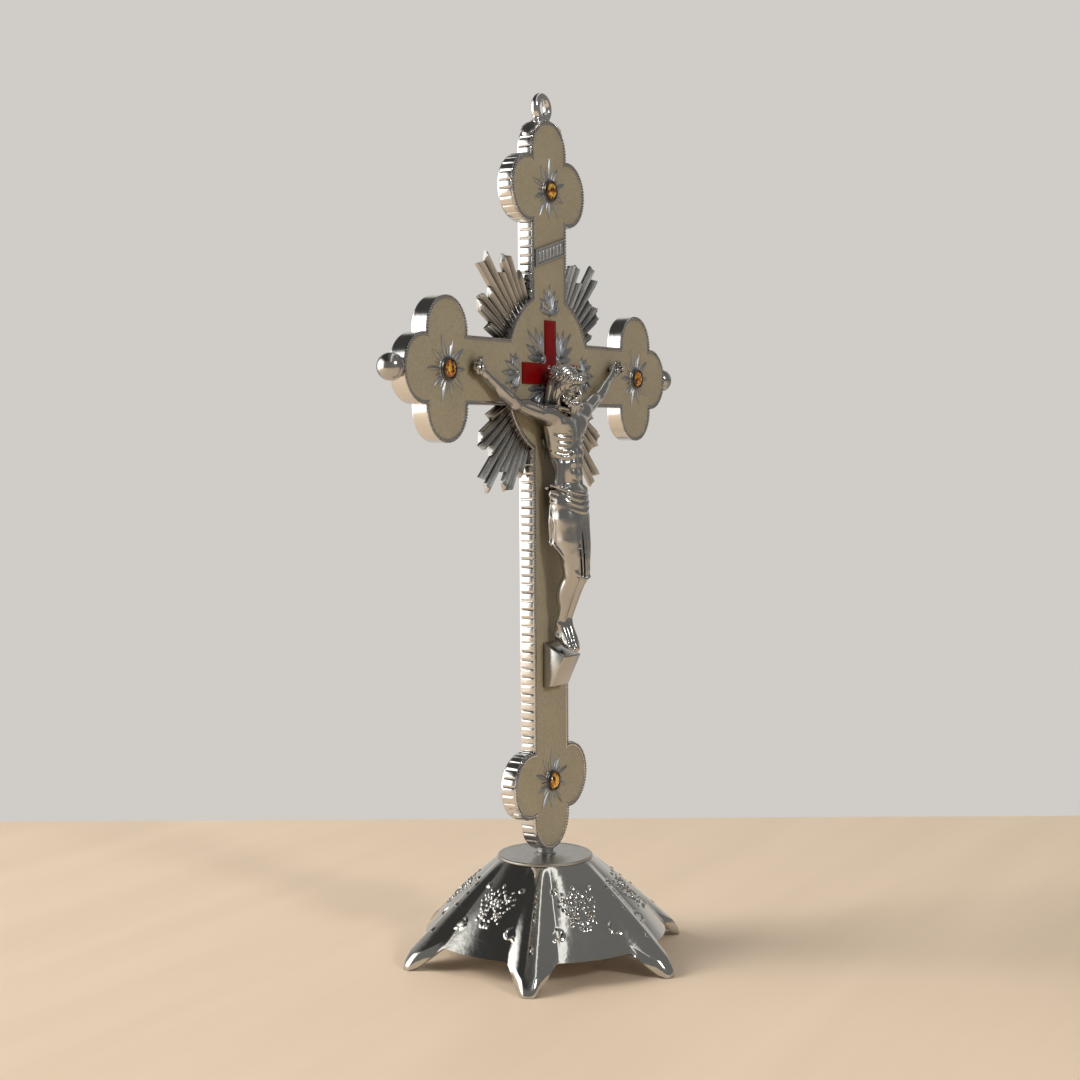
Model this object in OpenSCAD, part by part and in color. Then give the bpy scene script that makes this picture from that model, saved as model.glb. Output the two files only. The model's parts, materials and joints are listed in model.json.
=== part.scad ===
/* [Cross] */
// Height of the crossing of the two beams above the floor
crossing_z = 161.8; // [150:0.1:175]
// Width of the post and of the arms
beam_w = 17.8; // [15:0.1:19]
// Thickness of the cross from its front rim to its back
plate_t = 4.9; // [4.6:0.1:6]
// Distance from the crossing to the middle of each of the three upper trefoils
upper_arm = 50.5; // [48:0.1:54]
// Distance from the crossing down to the middle of the lowest trefoil
lower_arm = 113.4; // [108:0.1:114]
// Reach of the lobes of the trefoils on the arms
arm_reach = 18.7; // [18.5:0.1:20]
// Reach of the lobes of the trefoils on the post
post_reach = 19.2; // [18.6:0.1:20]
// Radius of each trefoil lobe
lobe_r = 9.05; // [8.8:0.05:9.3]
// Radius of the round field at the crossing
medallion_r = 22.4; // [21:0.1:24]
// Width of the metal rim around the face panel
rim_w = 1; // [0.8:0.1:1.4]
// Depth of the pocket that holds the face panel
pocket_d = 1.1; // [1:0.05:1.2]
// Distance from one half-round of the reeded side walls to the next
reed_pitch = 2.35; // [2:0.05:3]

/* [Rays] */
// Angle of each ray from the diagonal, in degrees
ray_angles = [-21, -16.2, -11.8, -7, -2.4, 2.4, 7, 11.8, 16.2, 21];
// Radius that each ray reaches from the crossing
ray_tips = [30.5, 36.5, 37.2, 34.4, 42.6, 42.1, 34.4, 37.2, 36.3, 30];
// Width of one ray
ray_w = 2.5; // [2:0.1:2.8]

/* [Figure] */
// Radius of the pins that fix the figure through the palms and feet
pin_r = 0.5; // [0.4:0.05:0.6]
// Width of the sloped block under the feet
block_w = 9; // [8:0.1:10]

/* [Stones] */
// Radius of each amber stone
stone_r = 2.35; // [2:0.05:2.5]
// Number of rays in each starburst
burst_rays = 10; // [8:1:12]

/* [Base] */
// Height of the flat top of the base
base_h = 27.7; // [25:0.1:28.5]
// Radius of the flat top of the base
cap_r = 13.3; // [12:0.1:15]
// Radius at the tips of the feet
foot_r = 42; // [40:0.5:45]
// Turn of the whole base about the post, in degrees
base_turn = -5.5; // [-30:0.5:30]
// Thickness of the pressed sheet
sheet_t = 0.9; // [0.7:0.1:1]

/* [Hidden] */
$fn = 48;

half = beam_w / 2;
front = -plate_t / 2;
back = plate_t / 2;
floor_y = front + pocket_d;         // bottom of the pocket
face_y = front + 0.15;              // front of the face panel
inlay_t = 0.45;                     // how far the red cross stands out of the face
pin_head_r = 0.9;
pin_head_h = 0.7;
foot_pin_front = -10.9;
top_z = crossing_z + upper_arm;
bottom_z = crossing_z - lower_arm;
cross_foot_z = bottom_z - post_reach;
apex_z = top_z + post_reach;

// middle of each trefoil: [x, z, turn, reach], the turn pointing its tip outward
TREFOILS = [
    [0, top_z, 0, post_reach],
    [-upper_arm, crossing_z, 90, arm_reach],
    [upper_arm, crossing_z, -90, arm_reach],
    [0, bottom_z, 180, post_reach]
];

// palms of the two hands and the instep of the feet
HANDS = [[-38.4, -3.7, 162.5], [34, -3.7, 163.8]];
foot_pin_z = 86.6;

// the foot rest, as heights of its corners, and the two studs on its back
block_top_back = 87.6;
block_top_front = 83.9;
block_bottom = 75;
block_studs = [77.8, 83];
block_stud_r = 0.9;

loop_r = 2.7;                       // middle radius of the ring
loop_wire_r = 1.25;
loop_bore_r = 1.8;
loop_z = apex_z + loop_r + 0.9;
knob_r = 3.5;
knob_x = upper_arm + arm_reach + 2.4;
stud_r = 1.25;
stud_z = base_h - 5.2;              // lower end of the fixing stud
stud_len = cross_foot_z - stud_z + 9;

// ---- flat outlines, drawn in X and Z ----

// stands a flat outline up and gives it thickness from y0 to y1
module slab(y0, y1) {
    translate([0, y1, 0]) rotate([90, 0, 0]) linear_extrude(y1 - y0) children();
}

// a trefoil grown by g: a square heart with a round lobe at each side and at the tip
module trefoil(reach, g) {
    square(2 * (half + g), center = true);
    for (a = [-90, 0, 90]) rotate(a) translate([0, reach - lobe_r]) circle(lobe_r + g);
}

// the whole cross grown by g
module cross_outline(g = 0) {
    translate([-half - g, bottom_z]) square([2 * (half + g), top_z - bottom_z]);
    translate([-upper_arm, crossing_z - half - g]) square([2 * upper_arm, 2 * (half + g)]);
    translate([0, crossing_z]) circle(medallion_r + g, $fn = 96);
    for (t = TREFOILS) translate([t[0], t[1]]) rotate(t[2]) trefoil(t[3], g);
}

// a row of half-rounds along a straight edge, from start towards length
module reeds(length) {
    count = floor(length / reed_pitch);
    step = length / count;
    for (i = [0 : count - 1]) translate([(i + 0.5) * step, 0]) circle(step * 0.46, $fn = 16);
}

// the reeded side walls of the post
module post_reeds() {
    z_low = bottom_z + half + 1.6;
    z_mid_low = crossing_z - 21.4;
    z_mid_high = crossing_z + 21.4;
    for (side = [-1, 1]) translate([side * (half - 0.55), 0]) {
        translate([0, z_low]) rotate(90) reeds(z_mid_low - z_low);
        translate([0, z_mid_high]) rotate(90) reeds(top_z - half - 1.6 - z_mid_high);
    }
}

// ribs around the side lobes of the top and bottom trefoils
module lobe_ribs() {
    for (z = [top_z, bottom_z]) for (side = [0, 180]) for (a = [-56 : 16 : 56])
        translate([0, z]) rotate(side) translate([post_reach - lobe_r, 0]) rotate(a)
            translate([lobe_r - 0.35, 0]) circle(0.85, $fn = 16);
}

// ---- the cross ----

module cross_frame() color("silver") difference() {
    union() {
        slab(front, back) cross_outline();
        slab(front + 0.45, back - 0.45) {
            post_reeds();
            lobe_ribs();
        }
    }
    slab(front - 1, floor_y) cross_outline(-rim_w);
    slab(back - 0.4, back + 1) cross_outline(-1.8);
    ray_slots();
    for (t = TREFOILS) translate([t[0], floor_y - 1, t[1]]) rotate([-90, 0, 0]) cylinder(h = 2.2, r = 0.8);
    for (h = HANDS) translate([h[0], floor_y - 1, h[2]]) rotate([-90, 0, 0]) cylinder(h = 3, r = pin_r);
    for (z = block_studs) translate([0, floor_y - 1, z]) rotate([-90, 0, 0]) cylinder(h = 3, r = block_stud_r);
    translate([0, 0, cross_foot_z - 1]) cylinder(h = 10, r = stud_r);
    for (side = [-1, 1]) translate([side * (upper_arm + arm_reach - 4), 0, crossing_z])
        rotate([0, side * 90, 0]) cylinder(h = 6, r = 1);
}

module face_panel() color([0.53, 0.5, 0.42]) difference() {
    slab(face_y, floor_y) cross_outline(-rim_w);
    for (t = TREFOILS) translate([t[0], face_y - 1, t[1]]) rotate([-90, 0, 0]) cylinder(h = 4, r = 0.8);
    for (h = HANDS) translate([h[0], face_y - 1, h[2]]) rotate([-90, 0, 0]) cylinder(h = 4, r = pin_r);
    for (z = block_studs) translate([0, face_y - 1, z]) rotate([-90, 0, 0]) cylinder(h = 4, r = block_stud_r);
}

module red_cross_inlay() color([0.4, 0.02, 0.03]) slab(face_y - inlay_t, face_y) translate([0, crossing_z]) {
    square([5.8, 29.6], center = true);
    square([29.6, 5.8], center = true);
}

// one pointed leaf from the origin upward: where two equal circles cross
module leaf(length, width) {
    r = (length * length / 4 + width * width / 4) / width;
    translate([0, length / 2]) intersection() {
        translate([r - width / 2, 0]) circle(r);
        translate([width / 2 - r, 0]) circle(r);
    }
}

// a spray of leaves fanned over spread degrees on a round boss
module spray(leaves, length, width, spread) {
    circle(1.1);
    for (i = [0 : leaves - 1]) rotate(spread * (i / (leaves - 1) - 0.5))
        leaf(length * (1 - 0.3 * abs(2 * i / (leaves - 1) - 1)), width);
}

module filigree_ornaments() color([0.55, 0.56, 0.6]) slab(face_y - 0.35, face_y) translate([0, crossing_z])
    for (a = [0 : 90 : 270]) rotate(a) {
        translate([0, 16.3]) spray(7, 8.6, 1.9, 150);
        rotate(45) translate([0, 5.8]) spray(5, 11.5, 2.1, 84);
    }

// a slanted band across the post with a plain row of upright reeds in a border
module title_plaque() color([0.6, 0.6, 0.58]) translate([0, 0, crossing_z + 33.6]) difference() {
    slab(face_y - 0.6, face_y) plaque_band(half - 1.1, 2.35);
    difference() {
        slab(face_y - 1, face_y - 0.3) plaque_band(half - 1.7, 1.7);
        slab(face_y - 2, face_y) intersection() {
            plaque_band(half - 1.7, 1.9);
            for (i = [-5 : 5]) translate([i * 1.3 - 0.3, -6]) square([0.6, 12]);
        }
    }
}

// a parallelogram that rises to the right, half_w wide and half_h high each way
module plaque_band(half_w, half_h) {
    rise = 0.28 * half_w;
    polygon([[-half_w, -half_h - rise], [half_w, -half_h + rise], [half_w, half_h + rise], [-half_w, half_h - rise]]);
}

// ---- the ray fans: the first lies at the upper right, turned to the other corners ----

fan_y = 0.2;                        // back of the ridges and front of the fan's plate
fan_root = 2.4;                     // how far the tab enters the cross

// the tab that enters the medallion's edge
module fan_tab(grow = 0) {
    translate([-5, fan_y, medallion_r - fan_root]) cube([10, 0.9, fan_root + 1 + grow]);
}

module ray_slots() for (a = [45 : 90 : 315]) translate([0, 0, crossing_z]) rotate([0, a, 0]) fan_tab();

// a ray along Z with a roof-shaped front and a flat back
module ray(tip) {
    translate([0, 0, medallion_r - 1.5]) linear_extrude(tip - medallion_r + 1.5)
        polygon([[-ray_w / 2, fan_y + 0.9], [-ray_w / 2, fan_y], [0, fan_y - 1.1], [ray_w / 2, fan_y], [ray_w / 2, fan_y + 0.9]]);
}

module ray_fan(turn) color([0.52, 0.53, 0.5]) translate([0, 0, crossing_z]) {
    rotate([0, turn, 0]) fan_tab();
    difference() {
        rotate([0, turn, 0]) for (i = [0 : len(ray_tips) - 1]) rotate([0, ray_angles[i], 0]) ray(ray_tips[i]);
        rotate([90, 0, 0]) cylinder(h = 20, r = medallion_r, center = true, $fn = 96);
        cube([2 * half + 1.3, 20, 100], center = true);
        cube([100, 20, 2 * half], center = true);
    }
}

// ---- starbursts, stone cups and stones ----

module at_trefoil(i) translate([TREFOILS[i][0], face_y, TREFOILS[i][1]]) rotate([90, 0, 0]) children();

// the outline of a burst: a valley, a shoulder, a tip and a shoulder for every ray
function burst_outline() = [for (k = [0 : burst_rays - 1])
    let (step = 360 / burst_rays, a = k * step + 90)
    each [
        3.7 * [cos(a - step / 2), sin(a - step / 2)],
        5 * [cos(a - 9.5), sin(a - 9.5)],
        (8.9 - k % 2) * [cos(a), sin(a)],
        5 * [cos(a + 9.5), sin(a + 9.5)]
    ]];

module starburst(i) color([0.45, 0.48, 0.52]) at_trefoil(i) linear_extrude(0.3) difference() {
    rotate(i % 3 == 0 ? 0 : 180 / burst_rays) polygon(burst_outline());
    circle(3.05);
}

module stone_cup(i) color([0.22, 0.2, 0.18]) at_trefoil(i) rotate_extrude() {
    polygon([[0, -2], [0.8, -2], [0.8, 0], [3.05, 0], [3.05, 0.5], [2.75, 1.15], [stone_r, 1.15], [stone_r, 0.4], [0, 0.4]]);
}

module stone(i) color([0.72, 0.42, 0.06]) at_trefoil(i) translate([0, 0, 0.4]) {
    cylinder(h = 0.6, r = stone_r, $fn = 16);
    translate([0, 0, 0.6]) cylinder(h = 0.65, r1 = stone_r, r2 = stone_r * 0.62, $fn = 8);
    translate([0, 0, 1.25]) cylinder(h = 0.3, r1 = stone_r * 0.62, r2 = stone_r * 0.3, $fn = 8);
}

// ---- the figure ----

// a rounded limb between two balls: [point, radius] each
module limb(a, b) hull() {
    translate(a[0]) sphere(a[1], $fn = 16);
    translate(b[0]) sphere(b[1], $fn = 16);
}

// a rounded body between two flattened balls: [point, radii] each
module trunk(a, b) hull() {
    translate(a[0]) scale(a[1]) sphere(1, $fn = 20);
    translate(b[0]) scale(b[1]) sphere(1, $fn = 20);
}

module chain(points) for (i = [0 : len(points) - 2]) limb(points[i], points[i + 1]);

module torso() {
    trunk([[0, -7.4, 147], [8, 4.4, 5.2]], [[0, -8.2, 139], [5.6, 4, 4.5]]);
    trunk([[0, -8.2, 139], [5.6, 4, 4.5]], [[0, -8.2, 131], [5.6, 4.2, 4]]);
    trunk([[0, -8, 128], [6.6, 4.8, 5]], [[0.6, -8.6, 114], [5.2, 4.2, 5]]);
    limb([[0, -5, 146], 2.6], [[0, -3, 146], 2.2]);
    limb([[-6.6, -6.4, 128], 1.8], [[-7.4, -6, 110], 1.1]);
}

module arms() {
    chain([[[-7, -7, 149.6], 2.7], [[-24.6, -6, 152.4], 1.7], [[-37, -4, 161.6], 1.25]]);
    chain([[[7, -7.4, 150], 2.7], [[21.6, -6, 154], 1.7], [[32.6, -4, 162.6], 1.25]]);
    for (h = HANDS) limb([h, 1.5], [h + [sign(h[0]) * 1.6, 0, 1.4], 1]);
}

// head with hair and beard, leaning to the figure's right
module head() {
    limb([[0, -8, 150], 2.6], [[-1.4, -9, 156], 3]);
    trunk([[-2.2, -9.4, 159.4], [4.6, 4.9, 5]], [[-2.6, -9.8, 155], [4.2, 3.8, 4]]);
    limb([[-2.8, -12.2, 153.8], 1.4], [[-2.4, -11, 151], 1.1]);
    limb([[1, -9.5, 157], 2.4], [[2.2, -9.6, 149.6], 1.4]);
    limb([[-5.4, -8.2, 156.4], 2], [[-5.4, -8.8, 150], 1.2]);
}

module legs() {
    chain([[[-2.6, -9.2, 118], 3.6], [[-1.7, -10, 107], 3], [[-0.9, -6, 93], 1.8], [[-0.6, -7.4, 88.8], 1.6]]);
    chain([[[2.9, -9.2, 118], 3.6], [[1.9, -10.4, 107.4], 3], [[1, -6.8, 93.6], 1.8], [[0.6, -8.4, 88.6], 1.6]]);
    limb([[-0.4, -7, 88.4], 1.9], [[-0.4, -10, 85.6], 1.3]);
    limb([[0.6, -8.2, 88.4], 1.7], [[0.4, -10.4, 85.8], 1.3]);
}

module corpus() color("gainsboro") difference() {
    union() {
        torso();
        arms();
        head();
        legs();
    }
    for (h = HANDS) translate([h[0], -12, h[2]]) rotate([-90, 0, 0]) cylinder(h = 14, r = pin_r, $fn = 16);
    translate([0, -14, foot_pin_z]) rotate([-90, 0, 0]) cylinder(h = 14, r = pin_r, $fn = 16);
    slab(face_y, 4) translate([-60, 70]) square([120, 110]);
    slab(face_y - inlay_t, face_y + 1) translate([-15, crossing_z - 24]) square([30, 18]);
    translate([0, -14, foot_pin_z]) rotate([-90, 0, 0]) cylinder(h = 14 + foot_pin_front + pin_head_h, r = pin_head_r);
    block_body(block_w + 1);
}

// a rivet along Y: a low head at the front and a shank behind it
module rivet(front_y, shank) translate([0, front_y, 0]) rotate([-90, 0, 0]) {
    cylinder(h = pin_head_h, r = pin_head_r);
    cylinder(h = pin_head_h + shank, r = pin_r);
}

module hand_pins() color("dimgray") for (h = HANDS) translate([h[0], 0, h[2]]) rivet(-5.9, 5.8);

module foot_pin() color("dimgray") translate([0, 0, foot_pin_z]) rivet(foot_pin_front, 4);

// the sloped foot rest, width wide
module block_body(width) {
    translate([-width / 2, 0, 0]) rotate([90, 0, 90]) linear_extrude(width) polygon([
        [face_y, block_bottom], [face_y, block_top_back], [-9.3, block_top_front], [-5.3, block_bottom + 0.4]
    ]);
}

// the foot rest with two studs on its back that pass through the face panel
module foot_block() color("gainsboro") difference() {
    union() {
        block_body(block_w);
        for (z = block_studs) translate([0, face_y - 1, z]) rotate([-90, 0, 0]) cylinder(h = 3.1, r = block_stud_r);
    }
    translate([0, -12, foot_pin_z]) rotate([-90, 0, 0]) cylinder(h = 5.8, r = pin_r);
}

// ---- knobs and loop ----

// a ball on a collar, both cut to seat on the end of the arm, and a peg that enters the arm
module end_knob(side) color("silver") {
    difference() {
        translate([0, 0, crossing_z]) rotate([0, side * 90, 0]) {
            translate([0, 0, knob_x]) sphere(knob_r);
            translate([0, 0, upper_arm + arm_reach - 0.5]) cylinder(h = 1.7, r = 2.3);
        }
        slab(-6, 6) translate([side * (upper_arm + arm_reach - lobe_r), crossing_z]) circle(lobe_r);
    }
    translate([0, 0, crossing_z]) rotate([0, side * 90, 0])
        translate([0, 0, upper_arm + arm_reach - 4]) cylinder(h = 5, r = 1);
}

// a cast ring with a straight bore, on a saddle, both cut to seat on the top lobe
module hanging_loop() color("silver") difference() {
    union() {
        translate([0, 0, loop_z]) rotate([90, 0, 0]) rotate_extrude() polygon([
            [loop_bore_r, -0.85], [2.2, -1.15], [loop_r, -loop_wire_r], [3.5, -1.18], [4, -0.88], [4.35, 0],
            [4, 0.88], [3.5, 1.18], [loop_r, loop_wire_r], [2.2, 1.15], [loop_bore_r, 0.85]
        ]);
        slab(-1.4, 1.4) translate([0, apex_z - lobe_r + 1.6]) circle(lobe_r - 0.5);
    }
    slab(-3, 3) translate([0, apex_z - lobe_r]) circle(lobe_r);
}

// ---- the base ----

SECTORS = 6;
STEPS = 20;                         // facets of one sector of the skirt
RINGS = 9;                          // rings of the skirt from cap to edge
skirt_top = base_h - 0.8;

// 1 along the crest of a ridge, falling smoothly to 0 in the panels, at a degrees from the crest
function crest(a) = let (u = min(max((abs(a) - 3) / 8, 0), 1)) 1 - u * u * (3 - 2 * u);

// [radius, height] down the crest of a ridge and down the middle of a panel, s from 0 to 1
function ridge_point(s) = s < 0.88
    ? let (k = s / 0.88) [cap_r + (foot_r - 2.2 - cap_r) * k, skirt_top - (skirt_top - 4.4) * pow(k, 1.06)]
    : let (k = (s - 0.88) / 0.12) [foot_r - 2.2 * (1 - sin(90 * k)), 4.4 * (1 - k)];
function panel_point(s) = [cap_r + (33.4 - cap_r) * s, skirt_top - (skirt_top - 6.4) * pow(s, 0.94)];
function outer_point(s, a) = let (w = crest(a)) ridge_point(s) * w + panel_point(s) * (1 - w);
function inner_point(s, a) = outer_point(s, a) - sheet_t * (s > 0.99 || s < 0.01 ? [1, 0] : [0.75, 0.62]);

// one closed sheet: rings down the outside and back up the inside, each ring all the way round
module base_skirt() color("gray") {
    turns = SECTORS * STEPS;
    levels = 2 * RINGS;
    ring = [for (j = [0 : levels - 1]) j < RINGS ? j / (RINGS - 1) : (levels - 1 - j) / (RINGS - 1)];
    points = [for (j = [0 : levels - 1]) for (i = [0 : turns - 1])
        let (t = base_turn + 360 * i / turns,
             a = (i % STEPS) * 60 / STEPS,
             off = a > 30 ? a - 60 : a,
             p = j < RINGS ? outer_point(ring[j], off) : inner_point(ring[j], off))
        [p[0] * sin(t), -p[0] * cos(t), p[1]]];
    faces = [for (j = [0 : levels - 1]) for (i = [0 : turns - 1])
        let (j2 = (j + 1) % levels, i2 = (i + 1) % turns)
        [j * turns + i, j * turns + i2, j2 * turns + i2, j2 * turns + i]];
    polyhedron(points, faces, convexity = 8);
}

module base_cap() color("darkgray") difference() {
    translate([0, 0, skirt_top]) cylinder(h = base_h - skirt_top, r = cap_r, $fn = 96);
    translate([0, 0, skirt_top - 1]) cylinder(h = 4, r = stud_r);
}

module neck_collar() color("dimgray") difference() {
    translate([0, 0, base_h]) cylinder(h = cross_foot_z - base_h + 0.6, r = 3);
    translate([0, 0, base_h - 1]) cylinder(h = 8, r = stud_r);
    slab(-6, 6) translate([0, bottom_z - post_reach + lobe_r]) circle(lobe_r);
}

module fixing_stud() color("lightslategray") translate([0, 0, stud_z]) cylinder(h = stud_len, r = stud_r);

module fixing_washer() color("silver") translate([0, 0, skirt_top - 0.5]) difference() {
    cylinder(h = 0.5, r = 3);
    translate([0, 0, -1]) cylinder(h = 3, r = stud_r);
}

module fixing_nut() color("silver") translate([0, 0, skirt_top - 2.5]) difference() {
    cylinder(h = 2, r = 2.9, $fn = 6);
    translate([0, 0, -1]) cylinder(h = 4, r = stud_r);
}

cross_frame();
face_panel();
red_cross_inlay();
filigree_ornaments();
title_plaque();
ray_fan(-45);  // ray_fan_upper_left
ray_fan(45);  // ray_fan_upper_right
ray_fan(-135);  // ray_fan_lower_left
ray_fan(135);  // ray_fan_lower_right
starburst(0);  // starburst_top
starburst(1);  // starburst_left
starburst(2);  // starburst_right
starburst(3);  // starburst_bottom
stone_cup(0);  // stone_cup_top
stone_cup(1);  // stone_cup_left
stone_cup(2);  // stone_cup_right
stone_cup(3);  // stone_cup_bottom
stone(0);  // stone_top
stone(1);  // stone_left
stone(2);  // stone_right
stone(3);  // stone_bottom
corpus();
hand_pins();
foot_pin();
foot_block();
end_knob(-1);  // end_knob_left
end_knob(1);  // end_knob_right
hanging_loop();
base_skirt();
base_cap();
neck_collar();
fixing_stud();
fixing_washer();
fixing_nut();
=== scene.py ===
import json
import math

import bmesh
import bpy
import numpy as np
import openvdb
from mathutils import Euler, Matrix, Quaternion, Vector


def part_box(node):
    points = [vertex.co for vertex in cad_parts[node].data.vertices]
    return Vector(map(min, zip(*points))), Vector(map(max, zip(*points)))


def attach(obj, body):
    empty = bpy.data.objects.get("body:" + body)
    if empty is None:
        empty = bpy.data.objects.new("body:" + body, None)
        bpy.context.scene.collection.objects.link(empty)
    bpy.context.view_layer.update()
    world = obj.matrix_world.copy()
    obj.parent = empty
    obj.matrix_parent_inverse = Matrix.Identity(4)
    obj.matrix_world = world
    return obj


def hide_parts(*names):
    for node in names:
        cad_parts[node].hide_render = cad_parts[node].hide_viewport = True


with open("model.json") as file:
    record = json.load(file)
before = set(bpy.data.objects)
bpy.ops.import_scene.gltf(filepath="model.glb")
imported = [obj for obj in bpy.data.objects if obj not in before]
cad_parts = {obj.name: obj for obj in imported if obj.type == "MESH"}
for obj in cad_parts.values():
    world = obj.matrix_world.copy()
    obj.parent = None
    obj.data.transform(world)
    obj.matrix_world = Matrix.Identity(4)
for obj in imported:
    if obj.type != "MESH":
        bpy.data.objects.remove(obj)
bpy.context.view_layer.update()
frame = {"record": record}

# ---------------------------------------------------------------------------
# Driving sizes, in millimetres. Pieces are modelled in millimetres and scaled
# to metres when they become objects.
# ---------------------------------------------------------------------------
MM = 0.001


def box_mm(node):
    """Lowest and highest corner of a CAD node, in millimetres."""
    low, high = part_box(node)
    return np.array(low) / MM, np.array(high) / MM


def middle(node):
    low, high = box_mm(node)
    return (low + high) / 2


frame_low, frame_high = box_mm("cross_frame")
panel_low = box_mm("face_panel")[0]
FRONT, BACK = frame_low[1], frame_high[1]
FACE = panel_low[1]
CROSSING = middle("red_cross_inlay")[2]
ARM = (middle("stone_right")[0] - middle("stone_left")[0]) / 2
TOP_Z = middle("stone_top")[2]
BOTTOM_Z = middle("stone_bottom")[2]
RIM = panel_low[0] - frame_low[0]
ARM_REACH = frame_high[0] - ARM
POST_REACH = frame_high[2] - TOP_Z
PLAQUE_MARGIN = 1.1
HALF = box_mm("title_plaque")[1][0] + PLAQUE_MARGIN
LOBE_R = 9.05
MEDALLION_R = 22.4
REED_PITCH, REED_DEPTH = 2.35, 0.3

# ---- Node materials ----


class Shader:
    """A material under construction: its node tree and one Principled shader."""

    def __init__(self, name, **inputs):
        self.material = bpy.data.materials.new(name)
        self.material.use_nodes = True
        self.tree = self.material.node_tree
        self.surface = self.tree.nodes["Principled BSDF"]
        for key, value in inputs.items():
            self.surface.inputs[key.replace("_", " ")].default_value = value
        self.place = self.node("ShaderNodeTexCoord").outputs["Object"]

    def node(self, kind, **values):
        made = self.tree.nodes.new(kind)
        for key, value in values.items():
            if key in made.inputs.keys():
                made.inputs[key].default_value = value
            else:
                setattr(made, key, value)
        return made

    def link(self, source, target):
        self.tree.links.new(source, target)

    def noise(self, size, detail=3.0, stretch=(1, 1, 1)):
        """Noise whose features are about size metres across, stretched along an axis by stretch."""
        spread = self.node("ShaderNodeMapping")
        spread.inputs["Scale"].default_value = [1 / s for s in stretch]
        self.link(self.place, spread.inputs["Vector"])
        made = self.node("ShaderNodeTexNoise", Scale=1 / size, Detail=detail)
        self.link(spread.outputs["Vector"], made.inputs["Vector"])
        return made.outputs["Fac"]

    def hollow(self, distance):
        """1 on open surfaces, towards 0 in hollows about distance metres wide."""
        made = self.node("ShaderNodeAmbientOcclusion", samples=8, Distance=distance)
        return made.outputs["AO"]

    def ramp(self, source, stops):
        made = self.node("ShaderNodeValToRGB")
        points = made.color_ramp.elements
        while len(points) < len(stops):
            points.new(0.5)
        for point, (at, colour) in zip(points, stops):
            point.position = at
            point.color = (*colour, 1)
        self.link(source, made.inputs["Fac"])
        return made.outputs["Color"]

    def range(self, source, low, high):
        """source, 0 to 1, spread over low to high."""
        made = self.node("ShaderNodeMapRange")
        made.inputs["To Min"].default_value = low
        made.inputs["To Max"].default_value = high
        self.link(source, made.inputs["Value"])
        return made.outputs["Result"]

    def mix(self, share, first, second, blend="MIX"):
        made = self.node("ShaderNodeMix", data_type="RGBA", blend_type=blend)
        self.link(first, made.inputs[6])
        self.link(second, made.inputs[7])
        if isinstance(share, float):
            made.inputs[0].default_value = share
        else:
            self.link(share, made.inputs[0])
        return made.outputs[2]

    def bump(self, source, depth):
        """Relief of depth metres from source."""
        made = self.node("ShaderNodeBump", Strength=1.0, Distance=depth)
        self.link(source, made.inputs["Height"])
        normal = self.surface.inputs["Normal"]
        if normal.is_linked:
            self.link(normal.links[0].from_socket, made.inputs["Normal"])
        self.link(made.outputs["Normal"], normal)

    def feed(self, source, socket):
        self.link(source, self.surface.inputs[socket])


def plated_metal(name, bright, dark, rough, casting=0.00003, hollow=0.0009):
    """Plated casting: bright faces, painted shade (darker colour by ambient occlusion) in hollows, slight
    waviness and fine wear.
    """
    made = Shader(name, Metallic=1.0)
    tone = made.ramp(made.noise(0.012), [(0.3, [c * 0.9 for c in bright]), (0.7, bright)])
    # Painted shade: a dark, mottled colour mixed in where ambient occlusion finds a hollow or crease.
    hollow_shade = made.ramp(made.noise(0.002, 5), [(0.35, dark), (0.65, [c * 1.5 for c in dark])])
    open_face = made.ramp(made.hollow(hollow), [(0.25, (0, 0, 0)), (0.8, (1, 1, 1))])
    made.feed(made.mix(open_face, hollow_shade, tone), "Base Color")
    made.feed(made.range(made.noise(0.0015, 5), rough * 0.6, rough * 1.7), "Roughness")
    made.bump(made.noise(0.0024, 2), casting)
    return made.material


def brushed_metal(name, bright, dark, rough, along):
    """Dull silvered metal with fine drawn lines along one axis and painted shade in its hollows."""
    made = Shader(name, Metallic=1.0)
    tone = made.ramp(made.noise(0.006), [(0.3, [c * 0.8 for c in bright]), (0.7, bright)])
    stretch = [0.012, 0.012, 0.012]
    stretch[along] = 0.5
    lines = made.noise(0.02, 4, stretch)
    # Painted shade: a dark colour mixed in where ambient occlusion finds a hollow.
    open_face = made.ramp(made.hollow(0.0026), [(0.4, (0, 0, 0)), (0.92, (1, 1, 1))])
    hollow_shade = made.ramp(lines, [(0.4, dark), (0.6, [c * 1.4 for c in dark])])
    made.feed(made.mix(open_face, hollow_shade, tone), "Base Color")
    made.feed(made.range(lines, rough * 0.7, rough * 1.4), "Roughness")
    made.bump(lines, 0.00002)
    return made.material


def panel_resin(name):
    """Satin cream-olive panel: cloudy colour, fine specks, slight orange-peel, and painted shade (ambient
    occlusion) by the rim and round the raised pieces.
    """
    made = Shader(name, Specular_IOR_Level=0.45, Coat_Weight=0.25, Coat_Roughness=0.25)
    clouds = made.ramp(made.noise(0.014, 4), [(0.3, (0.4, 0.355, 0.25)), (0.7, (0.455, 0.405, 0.292))])
    specks = made.ramp(made.noise(0.0007, 6), [(0.35, (0.86, 0.85, 0.82)), (0.62, (1, 1, 1))])
    worn = made.mix(1.0, clouds, specks, "MULTIPLY")
    # Painted shade: the colour darkens where ambient occlusion finds the rim and the raised pieces close by.
    painted_contact_shade = made.ramp(made.hollow(0.0022), [(0.45, (0.55, 0.5, 0.42)), (0.95, (1, 1, 1))])
    made.feed(made.mix(1.0, worn, painted_contact_shade, "MULTIPLY"), "Base Color")
    made.feed(made.range(made.noise(0.003, 4), 0.34, 0.5), "Roughness")
    made.bump(made.noise(0.0011, 3), 0.000012)
    return made.material


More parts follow.
